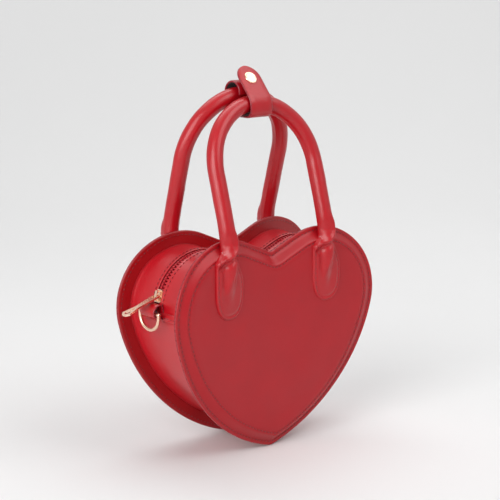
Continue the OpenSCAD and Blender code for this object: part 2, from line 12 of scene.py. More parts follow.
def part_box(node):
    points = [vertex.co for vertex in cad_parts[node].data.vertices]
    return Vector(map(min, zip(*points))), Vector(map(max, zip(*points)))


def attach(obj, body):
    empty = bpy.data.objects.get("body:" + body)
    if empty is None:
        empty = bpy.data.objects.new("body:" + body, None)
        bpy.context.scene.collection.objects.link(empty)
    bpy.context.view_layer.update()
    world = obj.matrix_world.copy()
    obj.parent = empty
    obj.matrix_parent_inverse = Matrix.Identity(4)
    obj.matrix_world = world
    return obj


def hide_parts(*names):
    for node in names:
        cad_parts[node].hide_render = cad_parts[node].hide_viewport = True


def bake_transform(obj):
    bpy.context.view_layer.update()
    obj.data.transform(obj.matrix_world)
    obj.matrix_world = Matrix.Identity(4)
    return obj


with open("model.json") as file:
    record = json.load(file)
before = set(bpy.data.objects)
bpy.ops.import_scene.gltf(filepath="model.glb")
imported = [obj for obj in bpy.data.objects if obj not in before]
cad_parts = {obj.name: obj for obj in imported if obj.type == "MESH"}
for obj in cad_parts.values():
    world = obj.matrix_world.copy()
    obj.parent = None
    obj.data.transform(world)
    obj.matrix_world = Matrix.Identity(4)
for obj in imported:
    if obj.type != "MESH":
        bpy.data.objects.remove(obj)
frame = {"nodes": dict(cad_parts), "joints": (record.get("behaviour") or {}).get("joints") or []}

bl_info = {
    "name": "Heart Shaped Handbag",
    "version": (1, 0, 0),
    "blender": (4, 5, 0),
    "location": "3D View > Sidebar > Handbag",
    "description": "Builds the leather, stitches, metal and stage of a heart shaped handbag",
    "category": "Add Mesh",
}

MM = 0.001
FRONT, BACK = -1, 1
LEFT, RIGHT = -1, 1
SIDE_NAMES = {FRONT: "front", BACK: "back"}
HAND_NAMES = {LEFT: "left", RIGHT: "right"}
TURN_IN = 1.3 * MM  # how far the gusset's leather goes in behind its own face where it is turned

# Places that the frame gives
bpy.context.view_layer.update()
PANEL_LOW, PANEL_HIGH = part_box("front_panel")
STRAP_LOW, STRAP_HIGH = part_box("keeper_strap")
FLAP_LOW, FLAP_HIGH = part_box("keeper_flap")
JOINT_AT = {joint["name"]: Vector(joint["pos_m"]) for joint in frame["joints"]}


def length(name, value, description):
    return FloatProperty(name=name, description=description, default=value, unit="LENGTH", precision=5)


def angle(name, degrees, description):
    return FloatProperty(name=name, description=description, default=math.radians(degrees),
                         subtype="ANGLE")


def power(name, value, description):
    return FloatProperty(name=name, description=description, default=value, unit="POWER")


def brightness(name, value, description):
    return FloatProperty(name=name, description=description, default=value, min=0.0, soft_max=1.0)


def colour(name, value, description):
    return FloatVectorProperty(name=name, description=description, default=value, size=3,
                               subtype="COLOR", min=0.0, max=1.0)


class BagSizes(bpy.types.PropertyGroup):
    """Sizes of the leather work"""

    lobe_r: length("Lobe radius", 55 * MM, "Radius of the heart's two lobes")
    notch_slope: angle("Notch slope", 23, "Slope of the notch between the lobes")
    notch_r: length("Notch radius", 5 * MM, "Rounding at the bottom of the notch")
    side_start: angle("Side start", 13, "Angle below a lobe's centre where its long side begins")
    tip_r: length("Tip radius", 11 * MM, "Rounding of the heart's lowest point")
    bag_d: length("Depth", 53 * MM, "Depth over the panels' flanges, in the middle")
    panel_bow: length("Panel bow", 10 * MM, "How far a panel's side edges bow outwards")
    pillow_rise: length("Padding rise", 6.7 * MM, "How far a padded face stands out from its flange")
    pillow_bow: length("Padding bow", 5.6 * MM, "How far a padded face bows outwards towards its sides")
    slope_start: length("Slope start", 2.4 * MM, "Distance from the edge to the padded slope's foot")
    slope_end: length("Slope end", 10.8 * MM, "Distance from the edge at which the slope ends")
    panel_t: length("Panel leather", 1.8 * MM, "Thickness of a panel's outer leather")
    wall_t: length("Panel wall", 2.6 * MM, "Thickness of a panel with its facing")
    swell: length("Swell", 0.7 * MM, "How far the padded face swells inside its seam")
    flange_w: length("Flange", 11 * MM, "Width of the flange that stands proud of the gusset")
    rim_row: length("Rim row", 3.0 * MM, "Distance of the outer row of stitches from the edge")
    seam_row: length("Seam row", 11 * MM, "Distance of the sunk inner row of stitches from the edge")
    stitch_len: length("Stitch", 2.5 * MM, "Length of a stitch")
    stitch_gap: length("Stitch gap", 1.1 * MM, "Gap between two stitches")
    thread_r: length("Thread radius", 0.28 * MM, "Radius of the sewing thread")
    gusset_sag: length("Gusset sag", 0.9 * MM, "How far the gusset sinks between its seams")
    lip_at: length("Zip lip", 3.3 * MM, "Distance of a strip's folded lip from the middle of the zip")
    handle_r: length("Handle radius", 6.25 * MM, "Radius of a rolled handle")
    tab_w: length("Tab width", 27.5 * MM, "Width of a handle's sewn tongue")
    tab_h: length("Tab height", 47 * MM, "Height of a handle's sewn tongue")
    tab_t: length("Tab thickness", 2.6 * MM, "Thickness of the tongue at its edge")
    tab_row: length("Tab row", 2.3 * MM, "Distance of a tongue's row of stitches from its edge")
    crease_z: length("Crease height", 158 * MM, "Height at which a handle folds over its tongue")
    keeper_w: length("Keeper width", 22 * MM, "Width of the keeper strap")
    keeper_t: length("Keeper thickness", 1.6 * MM, "Thickness of the keeper strap")
    keeper_corner: length("Keeper corner", 5 * MM, "Radius of the keeper's lower corners")
    curl_r: length("Curl radius", 8.3 * MM, "Radius of the keeper's curl over the back handle")
    flap_bend: length("Flap bend", 15 * MM, "Radius of the bend from the keeper's front into its flap")
    flap_lean: angle("Flap lean", 40, "Lean of the flap from upright")
    ring_tab_w: length("Ring tab width", 17 * MM, "Width of the leather that holds a ring")
    ring_tab_t: length("Ring tab thickness", 1.2 * MM, "Thickness of the leather that holds a ring")


class BagColours(bpy.types.PropertyGroup):
    """Colours of the leather, metal and cloth"""

    panel: colour("Panels", (0.40, 0.004, 0.010), "Leather of the panels and tongues")
    handle: colour("Handles", (0.43, 0.003, 0.009), "Leather of the handles and the keeper")
    # The gusset's red is partly its own and partly made paler as painted light from the floor's reflection
    gusset: colour("Gusset", (0.46, 0.003, 0.010), "Leather of the gusset and the zip's strips")
    # The facing's red is the panels' leather, set darker as painted shade inside the flanges
    inner: colour("Facing", (0.32, 0.001, 0.004), "Leather inside the flanges")
    edge: colour("Edge paint", (0.27, 0.010, 0.020), "Paint on the cut edges")
    # The thread's red is darker than the leather's as painted shade in the stitch grooves
    thread: colour("Thread", (0.18, 0.005, 0.011), "Sewing thread")
    # The strap back's near-black colour is painted shade inside the keeper's loop over the back handle
    back: colour("Strap back", (0.012, 0.008, 0.008), "Dark back of the keeper's leather")
    # The zip's red is partly its own and partly made paler as painted light against the shade in the
    # recessed slot
    nylon: colour("Zip", (0.46, 0.008, 0.018), "Teeth and tape of the zip")
    metal: colour("Metal", (0.92, 0.62, 0.46), "Light rose gold plating")
    lining: colour("Lining", (0.30, 0.07, 0.08), "Woven lining")
    core: colour("Core", (0.70, 0.64, 0.54), "Cotton core of the handles")
    board: colour("Board", (0.20, 0.17, 0.15), "Pressed fibre board")
    foam: colour("Padding", (0.78, 0.72, 0.60), "Foam inside the padded faces")
    floor: colour("Floor", (0.80, 0.80, 0.80), "Floor and backdrop")


class BagStage(bpy.types.PropertyGroup):
    """Camera and light"""

    azimuth: angle("Azimuth", -41.43, "Camera's turn round the bag, negative to its left")
    elevation: angle("Elevation", 11.26, "Camera's height above the horizon")
    distance: length("Distance", 1.2, "Camera's distance from the point it looks past")
    target_z: length("Target height", 90 * MM, "Height of the point the camera looks past")
    shift_right: length("Shift right", 1.2 * MM, "Camera's sideways shift")
    shift_up: length("Shift up", 61.4 * MM, "Camera's upward shift")
    lens: FloatProperty(name="Lens", description="Focal length on a 36 mm sensor", default=109.67,
                        unit="CAMERA")
    sky: brightness("Sky", 0.10, "Strength of the even light from all round")
    key: power("Key", 26.0, "Power of the large soft light on the left")
    front: power("Front", 23.0, "Power of the high light in front")
    top: power("Top", 5.0, "Power of the light above")
    low: power("Low", 5.0, "Power of the low light on the left")
    card: power("Card", 3.0, "Power of the small light that the snap's cap mirrors")
    backdrop: power("Backdrop", 14.0, "Power of the light on the backdrop")
    beyond: brightness("Beyond", 0.74, "Brightness of the even grey far from the bag")
    fade_start: length("Fade start", 0.9, "Distance from the bag at which the floor begins to fade")
    fade_end: length("Fade end", 2.2, "Distance from the bag at which the floor is all even grey")


def sizes():
    return bpy.context.scene.bag_sizes


def colours():
    return bpy.context.scene.bag_colours


def smooth(t):
    t = min(max(t, 0.0), 1.0)
    return t * t * (3 - 2 * t)


def mix(a, b, t):
    return a + (b - a) * t


def spaced(count):
    return [i / (count - 1) for i in range(count)]


def arc(x, z, r, start, end, steps):
    """Points of an arc, with angles in radians."""
    return [(x + r * math.cos(mix(start, end, i / steps)), z + r * math.sin(mix(start, end, i / steps)))
            for i in range(steps + 1)]


class Heart:
    """The heart's construction: lobe arcs, long side arcs tangent to them, and round notch and tip."""

    def __init__(self):
        s = sizes()
        self.lobe_r = s.lobe_r
        self.slope = s.notch_slope
        self.low = -s.side_start
        self.notch_r = s.notch_r
        self.tip_r = s.tip_r
        self.lobe_x = (PANEL_HIGH.x - PANEL_LOW.x) / 2 - self.lobe_r
        self.lobe_z = PANEL_HIGH.z - self.lobe_r
        reach = self.lobe_x ** 2 + self.lobe_z ** 2 - self.lobe_r ** 2
        turn = self.lobe_x * math.cos(self.low) + self.lobe_z * math.sin(self.low)
        shift = reach / (2 * (turn + self.lobe_r))
        self.side_r = shift + self.lobe_r
        self.side_x = self.lobe_x - shift * math.cos(self.low)
        self.side_z = self.lobe_z - shift * math.sin(self.low)
        self.notch_z = (self.lobe_z + (self.lobe_r + self.notch_r) / math.cos(self.slope)
                        - self.lobe_x * math.tan(self.slope))
        self.tip_z = self.side_z - math.sqrt((self.side_r - self.tip_r) ** 2 - self.side_x ** 2)
        self.tip_angle = math.atan2(self.tip_z - self.side_z, -self.side_x)

    def bottom(self, inset, steps):
        """The right half's lower stretch: the rounded tip and the long side."""
        if inset < self.tip_r:
            tip = arc(0, self.tip_z, self.tip_r - inset, -math.pi / 2, self.tip_angle, 4)
            side = arc(self.side_x, self.side_z, self.side_r - inset, self.tip_angle, self.low, steps)
            return tip + side[1:]
        start = -math.acos(-self.side_x / (self.side_r - inset))
        return arc(self.side_x, self.side_z, self.side_r - inset, start, self.low, steps + 4)

    def top(self, inset, steps):
        """The right half's upper stretch: the lobe, its slope and the notch."""
        end = math.pi / 2 + self.slope
        lobe = arc(self.lobe_x, self.lobe_z, self.lobe_r - inset, self.low, end, steps)
        notch = arc(0, self.notch_z, self.notch_r + inset, self.slope - math.pi / 2, -math.pi / 2, 8)
        slope = [(mix(lobe[-1][0], notch[0][0], t), mix(lobe[-1][1], notch[0][1], t)) for t in spaced(12)]
        return lobe + slope[1:-1] + notch

    def outline(self, inset):
        """The whole outline, from the tip round the right side. Every inset gives as many points."""
        right = self.bottom(inset, 44) + self.top(inset, 56)[1:]
        return right + [(-x, z) for x, z in reversed(right[1:-1])]

    def over_the_top(self, inset):
        """From the right seam over both lobes to the left seam."""
        right = [p for p in self.top(inset, 96) if p[1] >= self.lobe_z]
        right = [(self.lobe_x + self.lobe_r - inset, self.lobe_z)] + right
        return right + [(-x, z) for x, z in reversed(right[:-1])]

    def round_the_bottom(self, inset):
        """From the left seam round the tip to the right seam."""
        low = [(self.lobe_x + self.lobe_r - inset, self.lobe_z)]
        lobe = arc(self.lobe_x, self.lobe_z, self.lobe_r - inset, self.low, 0, 6)
        right = self.bottom(inset, 60) + lobe[1:-1] + low
        return [(-x, z) for x, z in reversed(right[1:])] + right


def bow(face, sag, x):
    """Distance from the middle plane of a bowed face that is sag further out at the heart's sides."""
    half_w = (PANEL_HIGH.x - PANEL_LOW.x) / 2
    radius = (half_w ** 2 + sag ** 2) / (2 * sag)
    return face + radius - math.sqrt(radius ** 2 - x * x)


def flange_out(x):
    """Distance of a flange's outer face from the middle plane."""
    s = sizes()
    return bow(s.bag_d / 2, s.panel_bow, x)


def face_out(x, inset):
    """Distance of a panel's outer face from the middle plane, at a distance from the heart's edge."""
    s = sizes()
    pillow = bow(s.bag_d / 2 + s.pillow_rise, s.pillow_bow, x)
    return mix(flange_out(x), pillow, smooth((inset - s.slope_start) / (s.slope_end - s.slope_start)))


def panel_y(side, x, depth=0.0):
    """Place in depth of a flange at x, moved in by depth."""
    return side * (flange_out(x) - depth)


def wrinkle(point, scale, amount):
    """A small deterministic unevenness."""
    return amount * noise.noise(point * scale)


# Building meshes from rows of points

def new_mesh(name, points, faces, materials, face_materials=None):
    """A smooth shaded mesh object from points and faces."""
    mesh = bpy.data.meshes.new(name)
    mesh.from_pydata([tuple(p) for p in points], [], faces)
    for material in materials:
        mesh.materials.append(material)
    if face_materials:
        mesh.polygons.foreach_set("material_index", face_materials)
    bm = bmesh.new()
    bm.from_mesh(mesh)
    bmesh.ops.remove_doubles(bm, verts=bm.verts, dist=0.002 * MM)
    bmesh.ops.recalc_face_normals(bm, faces=bm.faces)
    bm.to_mesh(mesh)
    bm.free()
    mesh.shade_smooth()
    made = bpy.data.objects.new(name, mesh)
    bpy.context.scene.collection.objects.link(made)
    return made


def loft(name, rings, materials, closed=True, capped=False, end_cap=False, material_at=None):
    """A surface through rings of equally many points. material_at takes (ring, place) of a face."""
    count = len(rings[0])
    points = [p for ring in rings for p in ring]
    around = count if closed else count - 1
    faces, indices = [], []
    for i in range(len(rings) - 1):
        for j in range(around):
            k = (j + 1) % count
            faces.append((i * count + j, i * count + k, (i + 1) * count + k, (i + 1) * count + j))
            indices.append(material_at(i, j) if material_at else 0)
    if capped:
        faces.append(tuple(reversed(range(count))))
        indices.append(indices[0])
    if capped or end_cap:
        last = (len(rings) - 1) * count
        faces.append(tuple(range(last, last + count)))
        indices.append(indices[len(rings) * around - 2 * around])
    return new_mesh(name, points, faces, materials, indices)


def carry(piece, body, slot, *nodes):
    """Puts a finished piece on its body, with the nodes that it stands for."""
    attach(piece, body)
    if nodes:
        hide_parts(*nodes)
    return piece


def measured(points):
    """Running length at each point of a path."""
    run = [0.0]
    for a, b in zip(points, points[1:]):
        run.append(run[-1] + (b - a).length)
    return run


def at_length(points, run, place):
    """Point of a path at a running length."""
    place = min(max(place, 0.0), run[-1])
    i = next((k for k in range(1, len(run)) if run[k] >= place), len(run) - 1)
    span = run[i] - run[i - 1]
    return points[i - 1].lerp(points[i], (place - run[i - 1]) / span if span else 0.0)


def spline(points, per_span=6):
    """A smooth path through a few points."""
    ends = [points[0] * 2 - points[1]] + list(points) + [points[-1] * 2 - points[-2]]
    made = []
    for a, b, c, d in zip(ends, ends[1:], ends[2:], ends[3:]):
        for k in range(per_span):
            t = k / per_span
            made.append(0.5 * ((2 * b) + (c - a) * t + (2 * a - 5 * b + 4 * c - d) * t * t
                               + (3 * b - a - 3 * c + d) * t ** 3))
    return made + [points[-1]]


def stitches(name, path, out, material, body, closed=False):
    """A row of thread stitches along a path. out gives the outward direction at a point."""
    s = sizes()
    path = path + [path[0]] if closed else path
    run = measured(path)
    count = max(2, round(run[-1] / (s.stitch_len + s.stitch_gap)))
    pitch = run[-1] / count
    sides, stations = 6, 5
    points, faces = [], []
    for i in range(count):
        start = (i + 0.5) * pitch - s.stitch_len / 2
        for k in range(stations):
            t = k / (stations - 1)
            here = at_length(path, run, start + t * s.stitch_len)
            ahead = at_length(path, run, start + t * s.stitch_len + 0.2 * MM) - here
            ahead = ahead if ahead.length > 1e-7 else here - at_length(path, run, start)
            up = out(here)
            across = up.cross(ahead).normalized()
            radius = s.thread_r * math.sqrt(max(1 - (2 * t - 1) ** 4, 0.02))
            here = here + up * s.thread_r * (0.9 - 1.3 * (2 * t - 1) ** 4)
            for j in range(sides):
                turn = 2 * math.pi * j / sides
                points.append(here + across * radius * math.cos(turn) + up * radius * math.sin(turn))
        first = i * sides * stations
        for k in range(stations - 1):
            for j in range(sides):
                a, b = first + k * sides + j, first + k * sides + (j + 1) % sides
                faces.append((a, b, b + sides, a + sides))
        faces.append(tuple(first + j for j in reversed(range(sides))))
        faces.append(tuple(first + (stations - 1) * sides + j for j in range(sides)))
    return carry(new_mesh(name, points, faces, [material]), body, "panel_leather")


# Shader node groups, each built once

def new_group(name, inputs, outputs):
    """An empty node group with float inputs and the given outputs."""
    group = bpy.data.node_groups.new(name, "ShaderNodeTree")
    for title, value in inputs:
        socket = group.interface.new_socket(name=title, in_out="INPUT", socket_type="NodeSocketFloat")
        socket.default_value = value
    for title in outputs:
        group.interface.new_socket(name=title, in_out="OUTPUT", socket_type="NodeSocketFloat")
    return group, group.nodes.new("NodeGroupInput"), group.nodes.new("NodeGroupOutput")


def add(tree, kind, **settings):
    node = tree.nodes.new(kind)
    for key, value in settings.items():
        setattr(node, key, value)
    return node


def feed(tree, value, socket):
    """Links another socket to a socket, or sets it to a plain value."""
    if isinstance(value, bpy.types.NodeSocket):
        tree.links.new(value, socket)
    else:
        socket.default_value = value


def math_node(tree, operation, a, b):
    """A Math node on sockets or numbers."""
    node = add(tree, "ShaderNodeMath", operation=operation)
    feed(tree, a, node.inputs[0])
    feed(tree, b, node.inputs[1])
    return node.outputs[0]


def object_place(tree):
    return add(tree, "ShaderNodeTexCoord").outputs["Object"]


def noise_node(tree, place, scale, detail=3.0, roughness=0.55):
    node = add(tree, "ShaderNodeTexNoise")
    tree.links.new(place, node.inputs["Vector"])
    feed(tree, scale, node.inputs["Scale"])
    node.inputs["Detail"].default_value = detail
    node.inputs["Roughness"].default_value = roughness
    return node.outputs["Fac"]


def leather_grain_group():
    """Fine pebbled grain with pores, and a slow unevenness of the hide."""
    group, given, result = new_group("Leather grain", [("Grain scale", 1500.0), ("Hide scale", 38.0)],
                                     ["Height", "Hide", "Pores"])
    place = object_place(group)
    cells = add(group, "ShaderNodeTexVoronoi", feature="SMOOTH_F1")
    group.links.new(place, cells.inputs["Vector"])
    group.links.new(given.outputs["Grain scale"], cells.inputs["Scale"])
    fine = noise_node(group, place, math_node(group, "MULTIPLY", given.outputs["Grain scale"], 0.45), 4.0)
    hide = noise_node(group, place, given.outputs["Hide scale"], 4.0, 0.6)
    height = math_node(group, "ADD", math_node(group, "MULTIPLY", cells.outputs["Distance"], 0.55),
                       math_node(group, "MULTIPLY", fine, 0.6))
    pores = math_node(group, "GREATER_THAN", fine, 0.66)
    group.links.new(height, result.inputs["Height"])
    group.links.new(hide, result.inputs["Hide"])
    group.links.new(pores, result.inputs["Pores"])
    return group


def edge_wear_group():
    """How far a place is a rubbed convex edge, broken up by noise."""
    group, given, result = new_group("Edge wear", [("Start", 0.53), ("Sharpness", 9.0)], ["Wear"])
    pointed = add(group, "ShaderNodeNewGeometry").outputs["Pointiness"]
    raised = math_node(group, "SUBTRACT", pointed, given.outputs["Start"])
    sharp = math_node(group, "MULTIPLY", raised, given.outputs["Sharpness"])
    broken = math_node(group, "MULTIPLY", sharp, noise_node(group, object_place(group), 240.0))
    kept = add(group, "ShaderNodeClamp")
    group.links.new(broken, kept.inputs["Value"])
    group.links.new(kept.outputs["Result"], result.inputs["Wear"])
    return group


def weave_group():
    """Crossed threads of a plain cloth or tape."""
    group, given, result = new_group("Weave", [("Threads", 2200.0)], ["Height"])
    place = object_place(group)
    heights = []
    for direction in ("X", "Y", "Z"):
        wave = add(group, "ShaderNodeTexWave", bands_direction=direction)
        group.links.new(place, wave.inputs["Vector"])
        group.links.new(given.outputs["Threads"], wave.inputs["Scale"])
        wave.inputs["Distortion"].default_value = 0.6
        wave.inputs["Detail"].default_value = 1.0
        heights.append(wave.outputs["Fac"])
    height = math_node(group, "MULTIPLY", heights[0], heights[1])
    group.links.new(math_node(group, "ADD", height, math_node(group, "MULTIPLY", heights[2], 0.5)),
                    result.inputs["Height"])
    return group


def handled_metal_group():
    """Faint rubbing and finger marks on plated metal."""
    group, given, result = new_group("Handled metal", [("Mark scale", 260.0)], ["Marks", "Height"])
    place = object_place(group)
    marks = noise_node(group, place, given.outputs["Mark scale"], 5.0, 0.65)
    height = noise_node(group, place, 3200.0, 2.0)
    group.links.new(marks, result.inputs["Marks"])
    group.links.new(height, result.inputs["Height"])
    return group


GROUP_MAKERS = {
    "Leather grain": leather_grain_group,
    "Edge wear": edge_wear_group,
    "Weave": weave_group,
    "Handled metal": handled_metal_group,
}


def use_group(tree, name, **values):
    """Places a shared effect in a material, with the material's own values."""
    group = bpy.data.node_groups.get(name) or GROUP_MAKERS[name]()
    node = add(tree, "ShaderNodeGroup", node_tree=group)
    for title, value in values.items():
        node.inputs[title.replace("_", " ").capitalize()].default_value = value
    return node


def start_material(name):
    """A new material with its Principled shader."""
    material = bpy.data.materials.new(name)
    material.use_nodes = True
    return material, material.node_tree, material.node_tree.nodes["Principled BSDF"]


def mix_colour(tree, factor, a, b):
    """A Mix node of two colours, each a socket or three numbers."""
    node = add(tree, "ShaderNodeMix", data_type="RGBA")
    tree.links.new(factor, node.inputs["Factor"])
    # The node's other kinds of value share these sockets' names, so they go by their places
    for socket, value in zip((node.inputs[6], node.inputs[7]), (a, b)):
        feed(tree, (*value, 1.0) if isinstance(value, tuple) else value, socket)
    return node.outputs[2]


def spread(tree, value, low, high, start=0.3, end=0.7):
    """Maps start to end of a value onto low to high."""
    node = add(tree, "ShaderNodeMapRange")
    tree.links.new(value, node.inputs["Value"])
    for title, setting in (("From Min", start), ("From Max", end), ("To Min", low), ("To Max", high)):
        node.inputs[title].default_value = setting
    return node.outputs["Result"]


def bump(tree, height, shader, distance, strength):
    node = add(tree, "ShaderNodeBump")
    node.inputs["Distance"].default_value = distance
    node.inputs["Strength"].default_value = strength
    tree.links.new(height, node.inputs["Height"])
    tree.links.new(node.outputs["Normal"], shader.inputs["Normal"])


def shade(base, factor):
    return tuple(min(c * factor, 1.0) for c in base)


def tone(tree, shader, factor, base, dark, light):
    """Lets the base colour vary between two shades of one colour."""
    toned = mix_colour(tree, factor, shade(base, dark), shade(base, light))
    tree.links.new(toned, shader.inputs["Base Color"])


def leather(name, base, rough, shine, coat):
    """Finished leather: grain, a hide's unevenness, paler rubbed edges and a satin coat."""
    material, tree, shader = start_material(name)
    grain = use_group(tree, "Leather grain", grain_scale=1500.0)
    hide = grain.outputs["Hide"]
    rubbed = use_group(tree, "Edge wear").outputs["Wear"]
    rubbed_colour = tuple(mix(c, 0.62, 0.25) for c in shade(base, 1.3))
    toned = mix_colour(tree, spread(tree, hide, 0.0, 1.0), shade(base, 0.95), shade(base, 1.05))
    pores = math_node(tree, "MULTIPLY", grain.outputs["Pores"], 0.2)
    pored = mix_colour(tree, pores, toned, shade(base, 0.6))
    worn = mix_colour(tree, math_node(tree, "MULTIPLY", rubbed, 0.3), pored, rubbed_colour)
    tree.links.new(worn, shader.inputs["Base Color"])
    tree.links.new(spread(tree, hide, rough - 0.02, rough + 0.03), shader.inputs["Roughness"])
    shader.inputs["Coat Weight"].default_value = coat
    shader.inputs["Coat Roughness"].default_value = 0.16
    shader.inputs["Specular IOR Level"].default_value = shine
    bump(tree, grain.outputs["Height"], shader, 0.09 * MM, 0.75)
    return material


def painted_edge():
    """Edge paint: a smooth darker film over the cut leather."""
    material, tree, shader = start_material("painted_edge")
    film = noise_node(tree, object_place(tree), 420.0)
    tone(tree, shader, film, colours().edge, 0.8, 1.3)
    tree.links.new(spread(tree, film, 0.22, 0.36), shader.inputs["Roughness"])
    bump(tree, film, shader, 0.05 * MM, 0.4)
    return material


def strap_back_painted_shade():
    """Napped back of the keeper's leather, coloured near black as painted shade inside the keeper's loop.
    """
    material, tree, shader = start_material("strap_back_painted_shade")
    nap = noise_node(tree, object_place(tree), 1900.0, 5.0, 0.7)
    tone(tree, shader, nap, colours().back, 0.6, 2.2)
    shader.inputs["Roughness"].default_value = 0.85
    shader.inputs["Sheen Weight"].default_value = 0.2
    bump(tree, nap, shader, 0.1 * MM, 0.8)
    return material


def thread():
    """Bonded sewing thread with its twist. Its red is partly its own and partly darkened as painted shade
    of the stitch grooves.
    """
    material, tree, shader = start_material("sewing_thread")
    twist = add(tree, "ShaderNodeTexWave", bands_direction="DIAGONAL")
    tree.links.new(object_place(tree), twist.inputs["Vector"])
    twist.inputs["Scale"].default_value = 900.0
    tone(tree, shader, twist.outputs["Fac"], colours().thread, 0.75, 1.25)
    shader.inputs["Roughness"].default_value = 0.4
    shader.inputs["Sheen Weight"].default_value = 0.1
    bump(tree, twist.outputs["Fac"], shader, 0.05 * MM, 0.6)
    return material


def cloth(name, base, threads):
    """Woven cloth or tape."""
    material, tree, shader = start_material(name)
    weave = use_group(tree, "Weave", threads=threads).outputs["Height"]
    uneven = noise_node(tree, object_place(tree), 60.0)
    toned = mix_colour(tree, uneven, shade(base, 0.85), shade(base, 1.15))
    tree.links.new(mix_colour(tree, spread(tree, weave, 0.0, 0.35, 0.0, 1.0), toned, shade(base, 1.5)),
                   shader.inputs["Base Color"])
    shader.inputs["Roughness"].default_value = 0.8
    shader.inputs["Sheen Weight"].default_value = 0.35
    bump(tree, weave, shader, 0.12 * MM, 0.7)
    return material


def nylon():
    """Moulded nylon of the zip's teeth, made paler as painted light against the shade in the zip's slot."""
    material, tree, shader = start_material("moulded_nylon")
    uneven = noise_node(tree, object_place(tree), 900.0)
    tone(tree, shader, uneven, colours().nylon, 0.8, 1.25)
    tree.links.new(spread(tree, uneven, 0.3, 0.42), shader.inputs["Roughness"])
    bump(tree, uneven, shader, 0.04 * MM, 0.4)
    return material


def plated_metal():
    """Polished light rose gold plating with faint marks."""
    material, tree, shader = start_material("rose_gold_plating")
    handled = use_group(tree, "Handled metal")
    rubbed = use_group(tree, "Edge wear", start=0.56).outputs["Wear"]
    base = colours().metal
    toned = mix_colour(tree, handled.outputs["Marks"], shade(base, 0.92), shade(base, 1.06))
    tree.links.new(mix_colour(tree, math_node(tree, "MULTIPLY", rubbed, 0.5), toned, (0.92, 0.74, 0.62)),
                   shader.inputs["Base Color"])
    shader.inputs["Metallic"].default_value = 1.0
    tree.links.new(spread(tree, handled.outputs["Marks"], 0.20, 0.30), shader.inputs["Roughness"])
    bump(tree, handled.outputs["Height"], shader, 0.01 * MM, 0.25)
    return material


def fibre(name, base, scale, depth):
    """Matted or twisted fibres, for the boards and the handles' cores."""
    material, tree, shader = start_material(name)
    matted = noise_node(tree, object_place(tree), scale, 6.0, 0.7)
    tone(tree, shader, matted, base, 0.7, 1.2)
    shader.inputs["Roughness"].default_value = 0.9
    bump(tree, matted, shader, depth, 0.8)
    return material


def rays_that_see(tree):
    """1 for the rays that show the background: the camera's, and those mirrored or let through."""
    path = add(tree, "ShaderNodeLightPath")
    both = math_node(tree, "MAXIMUM", path.outputs["Is Camera Ray"], path.outputs["Is Glossy Ray"])
    return math_node(tree, "MAXIMUM", both, path.outputs["Is Transmission Ray"])


def studio_floor():
    """Seamless pale paper, faintly uneven. Far from the bag, out of the lamps' reach, it is even grey."""
    material, tree, shader = start_material("studio_paper")
    place = object_place(tree)
    uneven = noise_node(tree, place, 3.0, 2.0)
    tone(tree, shader, uneven, colours().floor, 0.985, 1.015)
    shader.inputs["Roughness"].default_value = 0.75
    away = add(tree, "ShaderNodeVectorMath", operation="LENGTH")
    tree.links.new(place, away.inputs[0])
    stage = bpy.context.scene.bag_stage
    far = spread(tree, away.outputs["Value"], 0.0, 1.0, stage.fade_start, stage.fade_end)
    even = add(tree, "ShaderNodeEmission")
    even.inputs["Strength"].default_value = stage.beyond
    both = add(tree, "ShaderNodeMixShader")
    tree.links.new(math_node(tree, "MULTIPLY", far, rays_that_see(tree)), both.inputs[0])
    tree.links.new(shader.outputs[0], both.inputs[1])
    tree.links.new(even.outputs[0], both.inputs[2])
    tree.links.new(both.outputs[0], tree.nodes["Material Output"].inputs["Surface"])
    return material


MATERIAL_MAKERS = {
    "face_leather": lambda: leather("face_leather", colours().panel, rough=0.38, shine=0.38, coat=0.02),
    "handle_leather": lambda: leather("handle_leather", colours().handle, rough=0.3, shine=0.44, coat=0.1),
    # The side leather's paler red is partly painted light from the floor's reflection
    "side_leather": lambda: leather("side_leather", colours().gusset, rough=0.34, shine=0.6, coat=0.05),
    # The facing leather's darker red is painted shade inside the flanges
    "facing_leather": lambda: leather("facing_leather", colours().inner, rough=0.36, shine=0.45,
                                      coat=0.02),
    "painted_edge": painted_edge,
    "strap_back_painted_shade": strap_back_painted_shade,
    "sewing_thread": thread,
    # The tape shares the zip's red, made paler as painted light against the slot's shade
    "tape_weave": lambda: cloth("tape_weave", colours().nylon, 2600.0),
    "lining_cloth": lambda: cloth("lining_cloth", colours().lining, 2200.0),
    "moulded_nylon": nylon,
    "rose_gold_plating": plated_metal,
    "handle_core": lambda: fibre("handle_core", colours().core, 700.0, 0.3 * MM),
    "fibre_board": lambda: fibre("fibre_board", colours().board, 500.0, 0.1 * MM),
    "padding_foam": lambda: fibre("padding_foam", colours().foam, 900.0, 0.2 * MM),
    "studio_paper": studio_floor,
}


def finish_of(name):
    """A material by name, made at its first use."""
    return bpy.data.materials.get(name) or MATERIAL_MAKERS[name]()


def dress(finish, *nodes, bevel=0.0):
    """Gives CAD nodes a finish, and rounds their edges where bevel is above zero."""
    for name in nodes:
        node = frame["nodes"][name]
        node.data.materials.clear()
        node.data.materials.append(finish_of(finish))
        if bevel:
            rounding = node.modifiers.new("edge rounding", "BEVEL")
            rounding.width = bevel
            rounding.segments = 2
            rounding.limit_method = "ANGLE"
            rounding.angle_limit = math.radians(40)
            rounding.harden_normals = True


# Panels

